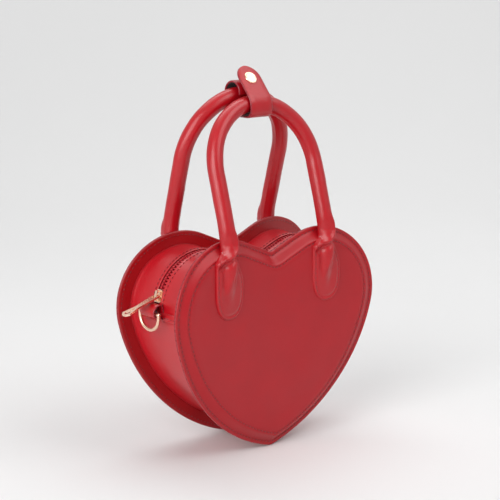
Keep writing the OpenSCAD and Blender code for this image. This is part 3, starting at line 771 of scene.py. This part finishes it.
def panel_profile():
    """Outer leather from its turned edge inwards, as (distance from the edge, depth) pairs."""
    s = sizes()
    edge = s.panel_t
    row, half = s.seam_row, 0.8 * MM
    turned = [(2.4 * MM, edge), (1.2 * MM, edge), (0.3 * MM, edge * 0.98), (0.04 * MM, edge * 0.8),
              (0, edge * 0.5), (0.1 * MM, edge * 0.22), (0.4 * MM, 0.06 * MM), (1.0 * MM, -0.05 * MM),
              (1.8 * MM, -0.15 * MM)]
    rim = [(s.rim_row - 0.6 * MM, -0.1 * MM), (s.rim_row, 0.12 * MM), (s.rim_row + 0.5 * MM, 0.05 * MM)]
    slope = [(4.4 * MM, 0.05 * MM), (5.4 * MM, 0), (6.4 * MM, 0), (7.4 * MM, 0), (8.4 * MM, -0.1 * MM),
             (9.2 * MM, -0.15 * MM)]
    seam = [(row - half, 0), (row - 0.3 * MM, 0.22 * MM), (row + 0.3 * MM, 0.22 * MM),
            (row + half, 0), (row + 2 * half, -0.25 * MM), (row + 3.6 * half, -0.4 * MM)]
    return turned + rim + slope + seam


def panel_rings(side, heart):
    """Rings of a panel's outer leather from its turned edge to its middle."""
    s = sizes()
    profile = panel_profile()
    rings = [[Vector((x, side * (face_out(x, inset) - depth), z)) for x, z in heart.outline(inset)]
             for inset, depth in profile]
    last_inset, last_depth = profile[-1]
    middle = Vector((0, 0, heart.lobe_z * 0.78))
    last_share = 0.985  # the last ring stays just short of the middle, and a cap closes it
    base = heart.outline(last_inset)
    for t in spaced(26)[1:]:
        ring = []
        swell = s.swell * smooth(t / 0.45) - last_depth
        for x, z in base:
            at = Vector((x, 0, z)).lerp(middle, t * last_share)
            uneven = wrinkle(at, 26, 0.35 * MM) * smooth(t / 0.2)
            ring.append(Vector((at.x, side * (face_out(at.x, s.slope_end) + swell + uneven), at.z)))
        rings.append(ring)
    return rings


def facing_rings(side, heart):
    """Rings of the flange's inner leather, from its turned edge to behind the gusset."""
    s = sizes()
    deep = s.wall_t
    profile = [(1.2 * MM, s.panel_t), (0.35 * MM, s.panel_t + 0.1 * MM),
               (0.1 * MM, mix(s.panel_t, deep, 0.5)), (0.35 * MM, deep - 0.06 * MM), (1.1 * MM, deep),
               (s.rim_row, deep + 0.02 * MM), (7 * MM, deep), (s.flange_w - 1 * MM, deep),
               (s.flange_w + 3 * MM, deep)]
    return [[Vector((x, panel_y(side, x, depth), z)) for x, z in heart.outline(inset)]
            for inset, depth in profile]


def make_panel(side):
    """One panel: its outer leather, its facing and their rows of stitches."""
    s = sizes()
    heart = Heart()
    name = SIDE_NAMES[side]
    rings = panel_rings(side, heart)
    outer = loft(f"{name}_panel_leather", rings, [finish_of("face_leather"), finish_of("painted_edge")],
                 end_cap=True, material_at=lambda i, j: 1 if i < 4 else 0)
    carry(outer, "bag", "panel_leather", f"{name}_panel")
    facing = loft(f"{name}_facing_leather", facing_rings(side, heart),
                  [finish_of("facing_leather"), finish_of("painted_edge")],
                  material_at=lambda i, j: 1 if i < 2 else 0)
    carry(facing, "bag", "inner_leather", f"{name}_facing")
    away = Vector((0, side, 0))
    rows = [("rim", s.rim_row, 0.08 * MM, away), ("seam", s.seam_row, 0.18 * MM, away),
            ("facing", s.rim_row, s.wall_t, -away)]
    for title, inset, depth, out in rows:
        path = [Vector((x, side * (face_out(x, inset) - depth), z)) for x, z in heart.outline(inset)]
        stitches(f"{name}_{title}_stitches", path, lambda p, out=out: out, finish_of("sewing_thread"),
                 "bag", closed=True)


# Gusset and zip

def along(path):
    """Unit outward direction at each place of a path of (x, z) pairs, in the heart's plane."""
    made = []
    for i in range(len(path)):
        a, b = path[max(i - 1, 0)], path[min(i + 1, len(path) - 1)]
        run = Vector((b[0] - a[0], b[1] - a[1])).normalized()
        made.append((run.y, -run.x))
    return made


def band(name, path, outward, section, materials, material_at=None):
    """A leather band along a path. section gives (depth, height) pairs for a place (x, z) on it."""
    rings = []
    for (x, z), (out_x, out_z) in zip(path, outward):
        rings.append([Vector((x + out_x * up, y, z + out_z * up)) for y, up in section(x, z)])
    return loft(name, rings, materials, closed=True, capped=True, material_at=material_at)


def turned_rise(near):
    """Rise of leather that is turned at a seam, at a distance from the seam."""
    return 0.8 * MM * math.exp(-near / (0.9 * MM))


def gusset_section(x, z):
    """Section of the gusset from the front seam to the back: turned at both, sagging between."""
    s = sizes()
    wall = s.wall_t
    front = panel_y(FRONT, x, wall)
    back = panel_y(BACK, x, wall)
    top = []
    for t in spaced(25):
        y = mix(front, back, t)
        near = min(y - front, back - y)
        sag = s.gusset_sag * smooth(near / (14 * MM))
        uneven = wrinkle(Vector((x, y, z)), 45, 0.5 * MM) * smooth(near / (5 * MM))
        top.append((y, turned_rise(near) - sag + uneven))
    return top + [(back, -TURN_IN), (front, -TURN_IN)]


def strip_section(side):
    """Section of a strip beside the zip: turned at the panel, with a thin lip over the zip's edge."""
    s = sizes()
    lip, thin = s.lip_at, 0.45 * MM

    def section(x, z):
        far = flange_out(x) - s.wall_t
        lip_end = lip + 2.2 * MM
        pairs = [(lip + 1.4 * MM, -TURN_IN), (lip + 1.35 * MM, -thin), (lip + 0.25 * MM, -thin),
                 (lip, -0.3 * MM), (lip - 0.02 * MM, 0), (lip + 0.12 * MM, 0.28 * MM),
                 (lip + 0.45 * MM, 0.42 * MM), (lip + 1.0 * MM, 0.38 * MM), (lip + 1.6 * MM, 0.12 * MM),
                 (lip_end, 0.02 * MM)]
        for t in spaced(13)[1:]:
            across = mix(lip_end, far, t)
            sag = 0.35 * MM * math.sin(math.pi * t)
            uneven = wrinkle(Vector((x, across * side, z)), 60, 0.3 * MM)
            pairs.append((across, turned_rise(far - across) - sag + uneven))
        pairs.append((far, -TURN_IN))
        return [(side * across, up) for across, up in pairs]
    return section


def make_gusset():
    """The wide strip of leather round the bottom of the heart."""
    s = sizes()
    heart = Heart()
    path = heart.round_the_bottom(s.flange_w)
    piece = band("gusset_leather_strip", path, along(path), gusset_section, [finish_of("side_leather")])
    carry(piece, "bag", "gusset_leather", "lower_gusset")


def make_zip_strips():
    """The two strips beside the zip with their stitches, the tapes below, and the zip's own parts."""
    s = sizes()
    heart = Heart()
    path = heart.over_the_top(s.flange_w)
    outward = along(path)
    tape_below, tape_t = 1.45 * MM, 0.6 * MM
    tape_path = heart.over_the_top(s.flange_w + tape_below)
    for side in (FRONT, BACK):
        name = SIDE_NAMES[side]
        strip = band(f"{name}_zip_strip_leather", path, outward, strip_section(side),
                     [finish_of("side_leather")])
        carry(strip, "bag", "gusset_leather", f"zip_strip_{name}")
        teeth_y, edge_y = 1.6 * MM * side, 11 * MM * side
        corners = [(teeth_y, 0), (edge_y, 0), (edge_y, -tape_t), (teeth_y, -tape_t)]
        tape = band(f"{name}_zip_tape_cloth", tape_path, along(tape_path),
                    lambda x, z, corners=corners: corners, [finish_of("tape_weave")])
        carry(tape, "bag", "zip_tape", f"zip_tape_{name}")
        row_y = side * (s.lip_at + 2.9 * MM)
        row = [Vector((x, row_y, z)) for x, z in path]
        centre = {hand: Vector((hand * heart.lobe_x, row_y, heart.lobe_z)) for hand in (LEFT, RIGHT)}
        stitches(f"{name}_zip_row_stitches", row,
                 lambda p, centre=centre: (p - centre[RIGHT if p.x > 0 else LEFT]).normalized(),
                 finish_of("sewing_thread"), "bag")
    dress("moulded_nylon", "zip_teeth_front", "zip_teeth_back")
    dress("rose_gold_plating", "zip_stops", bevel=0.12 * MM)
    dress("rose_gold_plating", "zip_slider", bevel=0.18 * MM)
    dress("rose_gold_plating", "zip_pull", bevel=0.25 * MM)


def make_cross_seams():
    """Where the strips' turned ends lie over the gusset, with a row of stitches across."""
    s = sizes()
    heart = Heart()
    reach = heart.lobe_x + heart.lobe_r - s.flange_w
    front, back = panel_y(FRONT, reach, s.wall_t), panel_y(BACK, reach, s.wall_t)
    section = [(-0.6, -3.2), (0.5, -3.1), (1.0, -2.6), (1.15, -1.6), (1.05, 1.0), (0.6, 3.0), (-0.6, 3.2)]
    for hand in (LEFT, RIGHT):
        name = HAND_NAMES[hand]
        rings = []
        for t in spaced(21):
            y = mix(front, back, t)
            lift = wrinkle(Vector((reach, y, hand)), 80, 0.2 * MM)
            rings.append([Vector((hand * (reach + out * MM + lift), y, heart.lobe_z + up * MM))
                          for out, up in section])
        fold = loft(f"{name}_cross_seam", rings, [finish_of("side_leather")], capped=True)
        carry(fold, "bag", "gusset_leather")
        row = [Vector((hand * (reach + 1.05 * MM), y, heart.lobe_z - 0.4 * MM))
               for y in (front + 2 * MM, back - 2 * MM)]
        stitches(f"{name}_cross_stitches", row, lambda p, hand=hand: Vector((hand, 0, 0)),
                 finish_of("sewing_thread"), "bag")


# Strips of leather with rounded edges, for the keeper and the ring tabs

def strap_ring(centre, out, across, half_w, thick):
    """One section of a strap: its outer face, a rounded edge, its inner face and the other edge."""
    half_t = thick / 2
    edge = min(half_t, half_w * 0.5)
    pairs = [(-half_w + edge, half_t), (-half_w * 0.5, half_t), (0, half_t), (half_w * 0.5, half_t),
             (half_w - edge, half_t), (half_w - 0.2 * edge, half_t * 0.6), (half_w, 0),
             (half_w - 0.2 * edge, -half_t * 0.6), (half_w - edge, -half_t), (half_w * 0.5, -half_t),
             (0, -half_t), (-half_w * 0.5, -half_t), (-half_w + edge, -half_t),
             (-half_w + 0.2 * edge, -half_t * 0.6), (-half_w, 0), (-half_w + 0.2 * edge, half_t * 0.6)]
    return [centre + across * a + out * b for a, b in pairs]


def strap_face(i, j):
    """Material of a strap's face: 0 outer, 1 inner, 2 cut edge."""
    return 0 if j < 4 else 1 if 8 <= j < 12 else 2


def strap(name, path, across, widths, thick, materials):
    """A leather strap along a path, with its half width at each place."""
    rings = []
    for i, here in enumerate(path):
        ahead = (path[min(i + 1, len(path) - 1)] - path[max(i - 1, 0)]).normalized()
        out = across.cross(ahead).normalized()
        rings.append(strap_ring(here, out, across, widths[i], thick))
    return loft(name, rings, materials, capped=True, material_at=strap_face)


def make_ring_tabs():
    """The leather loops that hold the D-rings, and the rings."""
    s = sizes()
    heart = Heart()
    face = heart.lobe_x + heart.lobe_r - s.flange_w
    half = s.ring_tab_t / 2
    for hand in (LEFT, RIGHT):
        name = HAND_NAMES[hand]
        bar = JOINT_AT[f"{name}_ring_swing"]
        stand = abs(bar.x) - face
        hold = 1.5 * MM + half
        corners = [(-half, -4 * MM), (0, 0), (half, 3 * MM), (1.4 * MM, 5.4 * MM), (3.6 * MM, 6.2 * MM),
                   (6.2 * MM, 5.6 * MM), (stand + 0.95 * hold, 2.6 * MM), (stand + hold, 0),
                   (stand + 0.5 * hold, -0.95 * hold), (stand - 2.4 * MM, -3.0 * MM),
                   (1.7 * MM, -4.0 * MM), (0.4 * half, -5.6 * MM), (-half, -7.0 * MM)]
        path = spline([Vector((hand * (face + out), 0, bar.z + up)) for out, up in corners])
        across = Vector((0, -hand, 0))
        widths = [s.ring_tab_w / 2] * len(path)
        tab = strap(f"{name}_ring_tab_leather", path, across, widths, s.ring_tab_t,
                    [finish_of("handle_leather"), finish_of("handle_leather"), finish_of("painted_edge")])
        carry(tab, "bag", "panel_leather", f"{name}_ring_tab")
    dress("rose_gold_plating", "left_d_ring", "right_d_ring")


def keeper_path():
    """The keeper's middle line as (y, z) pairs: behind, in front, its bend and the flap's straight run."""
    s = sizes()
    half_t = s.keeper_t / 2
    front, back = STRAP_LOW.y + half_t, STRAP_HIGH.y - half_t
    low, high = STRAP_LOW.z + half_t, STRAP_HIGH.z - half_t
    corner = s.keeper_corner
    curl = arc(back - s.curl_r, high - s.curl_r, s.curl_r, math.radians(192), 0, 30)
    behind = arc(back - corner, low + corner, corner, 0, -math.pi / 2, 10)
    before = arc(front + corner, low + corner, corner, -math.pi / 2, -math.pi, 10)
    hinge_z = JOINT_AT["keeper_unsnap"].z
    bend = arc(front + s.flap_bend, hinge_z, s.flap_bend, math.pi, math.pi - s.flap_lean, 12)
    knee = Vector(bend[-1])
    slope = Vector((math.sin(s.flap_lean), math.cos(s.flap_lean)))
    tip_run = (FLAP_HIGH.z - half_t * math.sin(s.flap_lean) - knee.y) / slope.y
    seam = (0.0, low)
    return curl + behind + [seam], [seam] + before, bend, knee, slope, tip_run


def make_keeper():
    """The keeper: a strap that curls over the back handle, one in front that ends as the flap, a snap."""
    s = sizes()
    behind, before, bend, knee, slope, tip_run = keeper_path()
    across = Vector((1, 0, 0))
    half_w = s.keeper_w / 2
    # Outer face, inner face coloured near black as painted shade inside the loop, and cut edge
    leathers = [finish_of("handle_leather"), finish_of("strap_back_painted_shade"), finish_of("painted_edge")]
    rear = [Vector((0, y, z)) for y, z in behind]
    piece = strap("keeper_back_leather", rear, across, [half_w] * len(rear), s.keeper_t, leathers)
    carry(piece, "keeper", "panel_leather", "keeper_strap")
    path = [Vector((0, y, z)) for y, z in before + bend]
    widths = [half_w] * len(path)
    for t in spaced(28)[1:]:
        run = tip_run * math.sin(t * math.pi / 2)
        past = max(run - (tip_run - half_w), 0.0)
        path.append(Vector((0, knee.x + slope.x * run, knee.y + slope.y * run)))
        widths.append(max(math.sqrt(max(half_w ** 2 - past ** 2, 0.0)), 0.25 * MM))
    piece = strap("keeper_front_leather", path, across, widths, s.keeper_t, leathers)
    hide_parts("keeper_flap")
    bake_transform(piece)
    dress("rose_gold_plating", "snap_cap", "snap_socket", "snap_stud", "snap_post")


# Handles

def to_segment(at, a, b):
    """Distance of a point from a straight stretch."""
    run = b - a
    share = min(max((at - a).dot(run) / run.length_squared, 0.0), 1.0)
    return (at - a - run * share).length


class Handle:
    """A rolled handle: two sewn tongues, leaning legs and a round arch."""

    # How square a tongue's round end is, and how sharp its cut edge
    fullness = 2.35
    edge_sharpness = 34
    # Where a tongue's left and right side, seen from outside, begin to narrow to the roll, as
    # (distance below the crease, length of the change)
    narrowing = ((3 * MM, 9 * MM), (21 * MM, 25 * MM))
    # How far above the crease the tongue's sections end and the leg's begin, and over what length the
    # leg then takes its round form
    legs_from = 9 * MM
    rounding_run = 10 * MM
    # Length over which the leg bends at the hinge, and the height above it where it is straight
    bend_run = 7 * MM
    straight_from = 30 * MM

    def __init__(self, side):
        s = sizes()
        self.side = side
        self.name = SIDE_NAMES[side]
        self.r = s.handle_r
        self.foot = JOINT_AT[f"{self.name}_handle_sway"]
        low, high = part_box(f"{self.name}_handle_cover")
        self.half = (high.x - low.x) / 2 - self.r
        arch_y = side * (min(abs(low.y), abs(high.y)) if low.y * high.y > 0 else 0)
        self.top_z = high.z - self.r
        self.top_y = arch_y + side * self.r if arch_y else 0.0
        up = Vector((0, self.top_y - self.foot.y, self.top_z - self.foot.z))
        self.rise = up.length
        self.up = up.normalized()
        self.out = Vector((0, self.up.z * side, -self.up.y * side))
        self.tongue_low = s.crease_z - s.tab_h
        self.end_h = s.tab_w * 0.75

    def arch_ring(self, hand_turn, count):
        """Ring of the arch. hand_turn goes from pi at the left to 0 at the right."""
        centre = self.foot + self.up * (self.rise - self.half)
        across = Vector((math.cos(hand_turn), 0, 0)) + self.up * math.sin(hand_turn)
        return self.round_ring(centre + across * self.half, across, count)

    def round_ring(self, centre, across, count):
        """A round section with the raised inner seam and slight unevenness."""
        ring = []
        for j in range(count):
            turn = 2 * math.pi * j / count
            direction = across * math.cos(turn) + self.out * math.sin(turn)
            seam = math.exp(-((turn - math.pi * 1.12) / 0.16) ** 2)
            at = centre + direction * self.r
            uneven = wrinkle(at, 70, 0.2 * MM) + wrinkle(at, 260, 0.05 * MM)
            ring.append(centre + direction * (self.r + 0.55 * MM * seam + uneven))
        return ring

    def half_width(self, z, on_right):
        """Half the tongue's width at height z, on its left or its right as seen from outside."""
        s = sizes()
        if z < self.tongue_low + self.end_h:
            missing = (1 - (z - self.tongue_low) / self.end_h) ** self.fullness
            return s.tab_w / 2 * max(1 - missing, 0.0) ** (1 / self.fullness)
        below, run = self.narrowing[on_right]
        return mix(s.tab_w / 2, self.r * 1.02, smooth((z - s.crease_z + below) / run))

    def roll_end(self, z):
        """Half width, half height, sideways shift and sinking of the roll, where it ends in the tongue."""
        s = sizes()
        up_share = (z - self.tongue_low) / s.tab_h
        full = smooth((up_share - 0.12) / 0.74)
        half_w = self.r * mix(0.7, 1.0, full)
        half_h = mix(0.8 * s.tab_t, self.r, full)
        shift = mix(-1.6 * MM, 0.0, full)
        sunk = 3 * MM * (1 - smooth((up_share - 0.08) / 0.2))
        return half_w, half_h, shift, sunk

    def from_edge(self, a, z, width):
        """Share of the way out to the tongue's edge, and distance in from it, at a share a of its width."""
        half_w = sizes().tab_w / 2
        below = max(self.tongue_low + self.end_h - z, 0.0) / self.end_h
        beside = abs(a) * width / half_w if below else abs(a)
        share = (beside ** self.fullness + below ** self.fullness) ** (1 / self.fullness)
        return share, (1 - share) * (half_w if below else width)

    def tongue_ring(self, hand, z, count):
        """A section at height z: the tongue flat on the padded face, with the roll that ends in it."""
        s = sizes()
        roll_w, roll_h, shift, sunk = self.roll_end(z)
        roll_x = shift * hand * -self.side
        free = smooth((z - s.crease_z + 1 * MM) / (5 * MM))
        ring = []
        for j in range(count):
            turn = 2 * math.pi * j / count
            a, b = math.cos(turn), math.sin(turn)
            width = self.half_width(z, -self.side * hand * a > 0)
            x = hand * (self.half + width * a)
            under = self.surface_out(x, z)
            if b > 0:
                out_share, in_from_edge = self.from_edge(a, z, width)
                groove = math.exp(-((in_from_edge - s.tab_row) / (0.8 * MM)) ** 2)
                full_t = s.tab_t * (1 - min(out_share, 1.0) ** self.edge_sharpness)
                flat = under + full_t - 0.7 * MM * groove
                off = min(abs(width * a - roll_x) / roll_w, 1.0)
                hump = abs(self.foot.y) + roll_h * math.sqrt(1 - off * off) - sunk
                high, near = max(flat, hump), abs(flat - hump)
                out = high + 0.3 * MM * math.exp(-near / (1.2 * MM))
                aside = -self.side * hand * width * a
                uneven = wrinkle(Vector((x, out, z)), 90, 0.35 * MM)
                out += self.creases(aside, z) * min(2 * b, 1) + uneven * b
            else:
                out = under - 0.4 * MM
                out = mix(out, max(out, abs(self.foot.y) + self.r * b), free)
            ring.append(Vector((x, self.side * out, z)))
        return ring

    def surface_out(self, x, z):
        """Distance of the panel's face under the tongue from the middle plane."""
        s = sizes()
        lobe_x = (PANEL_HIGH.x - PANEL_LOW.x) / 2 - s.lobe_r
        inset = s.lobe_r - math.hypot(abs(x) - lobe_x, z - PANEL_HIGH.z + s.lobe_r)
        return face_out(x, inset)

    def creases(self, aside, z):
        """Height of the folds where the roll bends over its tongue, aside of its middle at height z."""
        s = sizes()
        at = Vector((aside, z - s.crease_z))
        total = 0.0
        for height, width, line in self.folds():
            away = min(to_segment(at, a, b) for a, b in zip(line, line[1:]))
            total += height * math.exp(-(away / width) ** 2)
        return total * smooth((s.crease_z + 27 * MM - z) / (18 * MM))

    def folds(self):
        """Ridges and grooves as (height, width, line), the line in (aside, above the crease)."""
        lines = [(2.4, 1.9, [(-12, -2.5), (-6, 0.6), (-2, 2.4), (2.5, 5.5), (4.6, 9.5), (3.2, 17),
                             (1.2, 28)]),
                 (-1.9, 2.0, [(-9, -6.5), (-2, -3.0), (4.5, 1.0), (8.6, 6), (8.2, 15)]),
                 (-1.4, 2.4, [(-9, 5.5), (-5, 8.5), (-2.0, 13)]),
                 (0.7, 2.0, [(5.0, -5), (1.5, -11), (-1.5, -18), (-4, -26)]),
                 (-0.8, 1.7, [(-6.5, -9), (-6.0, -14), (-6.6, -19)])]
        return [(height * MM, width * MM, [Vector(point) * MM for point in line])
                for height, width, line in lines]

    def leg_rings(self, hand, count):
        """Rings from the tongue's lowest point up to the arch, on one side."""
        across = Vector((hand, 0, 0))
        top = sizes().crease_z + self.legs_from
        rings = []
        for t in spaced(60):
            up = (top - self.tongue_low) * (1 - math.cos(t * math.pi / 2))
            rings.append(self.tongue_ring(hand, self.tongue_low + 0.05 * MM + up, count))
        flat_end = rings[-1]
        start = Vector((hand * self.half, self.foot.y, top))
        leg = self.rise - self.half
        run = self.foot.z - top + leg
        for t in spaced(60)[1:-1]:
            place = t * run
            over = place - (self.foot.z - top)
            bent = over
            if over < self.straight_from:
                bent = 0.5 * (over + math.sqrt(over * over + self.bend_run ** 2))
            centre = Vector((start.x, self.foot.y + self.up.y * bent, 0))
            centre.z = self.foot.z + (over if over < 0 else over * self.up.z)
            circle = self.round_ring(centre, across, count)
            for k, point in enumerate(circle):
                turn = 2 * math.pi * k / count
                aside = -self.side * hand * math.cos(turn) * self.r
                fold = self.creases(aside, point.z) * min(max(2 * math.sin(turn), 0), 1)
                circle[k] = point + (across * math.cos(turn) + self.out * math.sin(turn)) * fold
            share = smooth(place / self.rounding_run)
            rise = centre - start
            rings.append([(a + rise).lerp(b, share) for a, b in zip(flat_end, circle)])
        return rings

    def rings(self, count):
        arch = [self.arch_ring(math.pi * (1 - t), count) for t in spaced(64)]
        return self.leg_rings(LEFT, count) + arch + list(reversed(self.leg_rings(RIGHT, count)))

    def tongue_edge(self, hand, inset):
        """The row of stitches inside a tongue's edge."""
        s = sizes()
        reach = s.tab_w / 2 - inset
        side_run = 19 * MM
        end_top = self.tongue_low + self.end_h
        points = []
        for a in spaced(31):
            turn = math.pi * a
            beside = math.copysign(abs(math.cos(turn)) ** (2 / self.fullness), -math.cos(turn))
            below = max(math.sin(turn), 0.0) ** (2 / self.fullness)
            points.append((reach * beside, end_top - (self.end_h - inset) * below))
        for t in spaced(9)[1:]:
            z = end_top + t * side_run
            points.insert(0, (inset - self.half_width(z, self.side * hand > 0), z))
            points.append((self.half_width(z, -self.side * hand > 0) - inset, z))
        row = []
        for x, z in points:
            at = hand * (self.half + x)
            row.append(Vector((at, self.side * (self.surface_out(at, z) + s.tab_t * 0.66), z)))
        return row


def make_handle(side):
    """One handle with its two tongues in a single leather, and its stitches and core."""
    handle = Handle(side)
    count = 64
    piece = loft(f"{handle.name}_handle_leather", handle.rings(count), [finish_of("handle_leather")],
                 capped=True)
    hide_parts(f"{handle.name}_handle_cover", f"{handle.name}_left_handle_tab",
                f"{handle.name}_right_handle_tab")
    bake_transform(piece)
    for hand in (LEFT, RIGHT):
        row = handle.tongue_edge(hand, sizes().tab_row)
        stitches(f"{handle.name}_{HAND_NAMES[hand]}_tongue_stitches", row,
                 lambda p: Vector((0, side, 0)), finish_of("sewing_thread"), "bag")
    dress("handle_core", f"{handle.name}_handle_core")


def make_inside():
    """The boards, the padding and the lining that the leather hides."""
    dress("fibre_board", "front_board", "back_board")
    dress("padding_foam", "front_padding", "back_padding")
    dress("lining_cloth", "front_lining", "back_lining", "gusset_lining", "zip_lining_front",
          "zip_lining_back")


# Stage

def level_directions():
    """Unit directions on the floor as the camera looks: away from it, and to its right."""
    turn = bpy.context.scene.bag_stage.azimuth
    return Vector((-math.sin(turn), math.cos(turn), 0)), Vector((math.cos(turn), math.sin(turn), 0))


def make_floor():
    """A floor that curves up into a backdrop, far behind the bag."""
    behind, aside = level_directions()
    front_end, bend_at, bend_r, half_w, top = -4.0, 0.8, 1.4, 4.5, 4.5
    bend = arc(bend_at, bend_r, bend_r, -math.pi / 2, 0, 24)
    profile = [(front_end, 0.0), (bend_at, 0.0)] + bend[1:] + [(bend_at + bend_r, top)]
    rings = [[behind * far + aside * wide + Vector((0, 0, up)) for far, up in profile]
             for wide in (-half_w, half_w)]
    floor = loft("studio_floor", rings, [finish_of("studio_paper")], closed=False)


def make_camera():
    """The camera at the photograph's viewing angle."""
    stage = bpy.context.scene.bag_stage
    a, e = stage.azimuth, stage.elevation
    back = Vector((math.sin(a) * math.cos(e), -math.cos(a) * math.cos(e), math.sin(e)))
    right = level_directions()[1]
    data = bpy.data.cameras.new("photo_camera")
    data.lens = stage.lens
    data.sensor_width = 36.0
    data.clip_start = 0.05
    data.clip_end = 50.0
    camera = bpy.data.objects.new("photo_camera", data)
    camera.location = (Vector((0, 0, stage.target_z)) + back * stage.distance + right * stage.shift_right
                       + back.cross(right) * stage.shift_up)
    camera.rotation_mode = "QUATERNION"
    camera.rotation_quaternion = (-back).to_track_quat("-Z", "Y")
    bpy.context.scene.collection.objects.link(camera)
    bpy.context.scene.camera = camera


def soft_light(name, place, aim, width, height, watts):
    """A large rectangular light aimed at a point."""
    data = bpy.data.lights.new(name, "AREA")
    data.shape = "RECTANGLE"
    data.size = width
    data.size_y = height
    data.energy = watts
    lamp = bpy.data.objects.new(name, data)
    lamp.location = place
    lamp.rotation_mode = "QUATERNION"
    lamp.rotation_quaternion = (Vector(aim) - Vector(place)).to_track_quat("-Z", "Y")
    bpy.context.scene.collection.objects.link(lamp)


def make_light():
    """Even light from all round, with soft lamps on the left, in front, above and on the backdrop."""
    stage = bpy.context.scene.bag_stage
    world = bpy.data.worlds.new("studio_air")
    bpy.context.scene.world = world
    world.use_nodes = True
    tree = world.node_tree
    background = tree.nodes["Background"]
    background.inputs["Color"].default_value = (1.0, 1.0, 1.0, 1.0)
    seen = math_node(tree, "MULTIPLY", rays_that_see(tree), stage.beyond - stage.sky)
    tree.links.new(math_node(tree, "ADD", seen, stage.sky), background.inputs["Strength"])
    middle, tip, snap = (0, 0, 0.15), (0, 0, 0.1), (0, 0, 0.29)
    soft_light("key_light", (-1.65, -0.65, 1.1), middle, 1.3, 1.3, stage.key)
    soft_light("front_light", (0.7, -1.6, 1.8), middle, 1.6, 1.6, stage.front)
    soft_light("low_light", (-1.5, -0.1, 0.4), tip, 1.2, 0.5, stage.low)
    soft_light("card_light", (1.1, -0.55, 1.45), snap, 0.8, 0.8, stage.card)
    soft_light("top_light", (0.1, 0.3, 1.8), middle, 1.4, 1.0, stage.top)
    behind = level_directions()[0]
    soft_light("backdrop_light", behind * 0.9 + Vector((0, 0, 1.9)), behind, 2.4, 0.6, stage.backdrop)


# Operators, one for each piece or group of like pieces

class Builder:
    """Shared settings of the building operators."""

    bl_options = {"REGISTER", "UNDO"}


class HEARTBAG_OT_panels(Builder, bpy.types.Operator):
    """Build both heart panels with their facings and stitches"""

    bl_idname = "heartbag.panels"
    bl_label = "Panels"

    def execute(self, context):
        for side in (FRONT, BACK):
            make_panel(side)
        return {"FINISHED"}


class HEARTBAG_OT_gusset(Builder, bpy.types.Operator):
    """Build the gusset and its cross seams"""

    bl_idname = "heartbag.gusset"
    bl_label = "Gusset"

    def execute(self, context):
        make_gusset()
        make_cross_seams()
        return {"FINISHED"}


class HEARTBAG_OT_zip(Builder, bpy.types.Operator):
    """Build the strips and tapes of the zip, and dress its teeth, slider and pull"""

    bl_idname = "heartbag.zip"
    bl_label = "Zip"

    def execute(self, context):
        make_zip_strips()
        return {"FINISHED"}


class HEARTBAG_OT_ring_tabs(Builder, bpy.types.Operator):
    """Build the ring tabs and dress the rings"""

    bl_idname = "heartbag.ring_tabs"
    bl_label = "Ring tabs"

    def execute(self, context):
        make_ring_tabs()
        return {"FINISHED"}


class HEARTBAG_OT_handles(Builder, bpy.types.Operator):
    """Build both rolled handles with their sewn tongues"""

    bl_idname = "heartbag.handles"
    bl_label = "Handles"

    def execute(self, context):
        for side in (FRONT, BACK):
            make_handle(side)
        return {"FINISHED"}


class HEARTBAG_OT_keeper(Builder, bpy.types.Operator):
    """Build the keeper strap and dress its snap"""

    bl_idname = "heartbag.keeper"
    bl_label = "Keeper"

    def execute(self, context):
        make_keeper()
        return {"FINISHED"}


class HEARTBAG_OT_inside(Builder, bpy.types.Operator):
    """Dress the boards, the padding and the lining"""

    bl_idname = "heartbag.inside"
    bl_label = "Inside"

    def execute(self, context):
        make_inside()
        return {"FINISHED"}


class HEARTBAG_OT_stage(Builder, bpy.types.Operator):
    """Set up the floor, the camera and the lights"""

    bl_idname = "heartbag.stage"
    bl_label = "Stage"

    def execute(self, context):
        make_floor()
        make_camera()
        make_light()
        context.scene.view_settings.view_transform = "Standard"
        return {"FINISHED"}


OPERATORS = (HEARTBAG_OT_panels, HEARTBAG_OT_gusset, HEARTBAG_OT_zip, HEARTBAG_OT_ring_tabs,
             HEARTBAG_OT_handles, HEARTBAG_OT_keeper, HEARTBAG_OT_inside, HEARTBAG_OT_stage)


class HEARTBAG_PT_sidebar(bpy.types.Panel):
    """Lists the bag's pieces and its sizes"""

    bl_idname = "HEARTBAG_PT_sidebar"
    bl_label = "Heart Shaped Handbag"
    bl_space_type = "VIEW_3D"
    bl_region_type = "UI"
    bl_category = "Handbag"

    def draw(self, context):
        for operator in OPERATORS:
            self.layout.operator(operator.bl_idname)
        for group in (context.scene.bag_sizes, context.scene.bag_colours, context.scene.bag_stage):
            box = self.layout.box()
            for name in group.__annotations__:
                box.prop(group, name)


GROUPS = {"bag_sizes": BagSizes, "bag_colours": BagColours, "bag_stage": BagStage}
CLASSES = (*GROUPS.values(), *OPERATORS, HEARTBAG_PT_sidebar)


def register():
    for item in CLASSES:
        bpy.utils.register_class(item)
    for name, group in GROUPS.items():
        setattr(bpy.types.Scene, name, PointerProperty(type=group))


def unregister():
    for name in GROUPS:
        delattr(bpy.types.Scene, name)
    for item in reversed(CLASSES):
        bpy.utils.unregister_class(item)


def main():
    register()
    bpy.ops.heartbag.panels()
    bpy.ops.heartbag.gusset()
    bpy.ops.heartbag.zip()
    bpy.ops.heartbag.ring_tabs()
    bpy.ops.heartbag.handles()
    bpy.ops.heartbag.keeper()
    bpy.ops.heartbag.inside()
    bpy.ops.heartbag.stage()


if __name__ == "__main__":
    main()
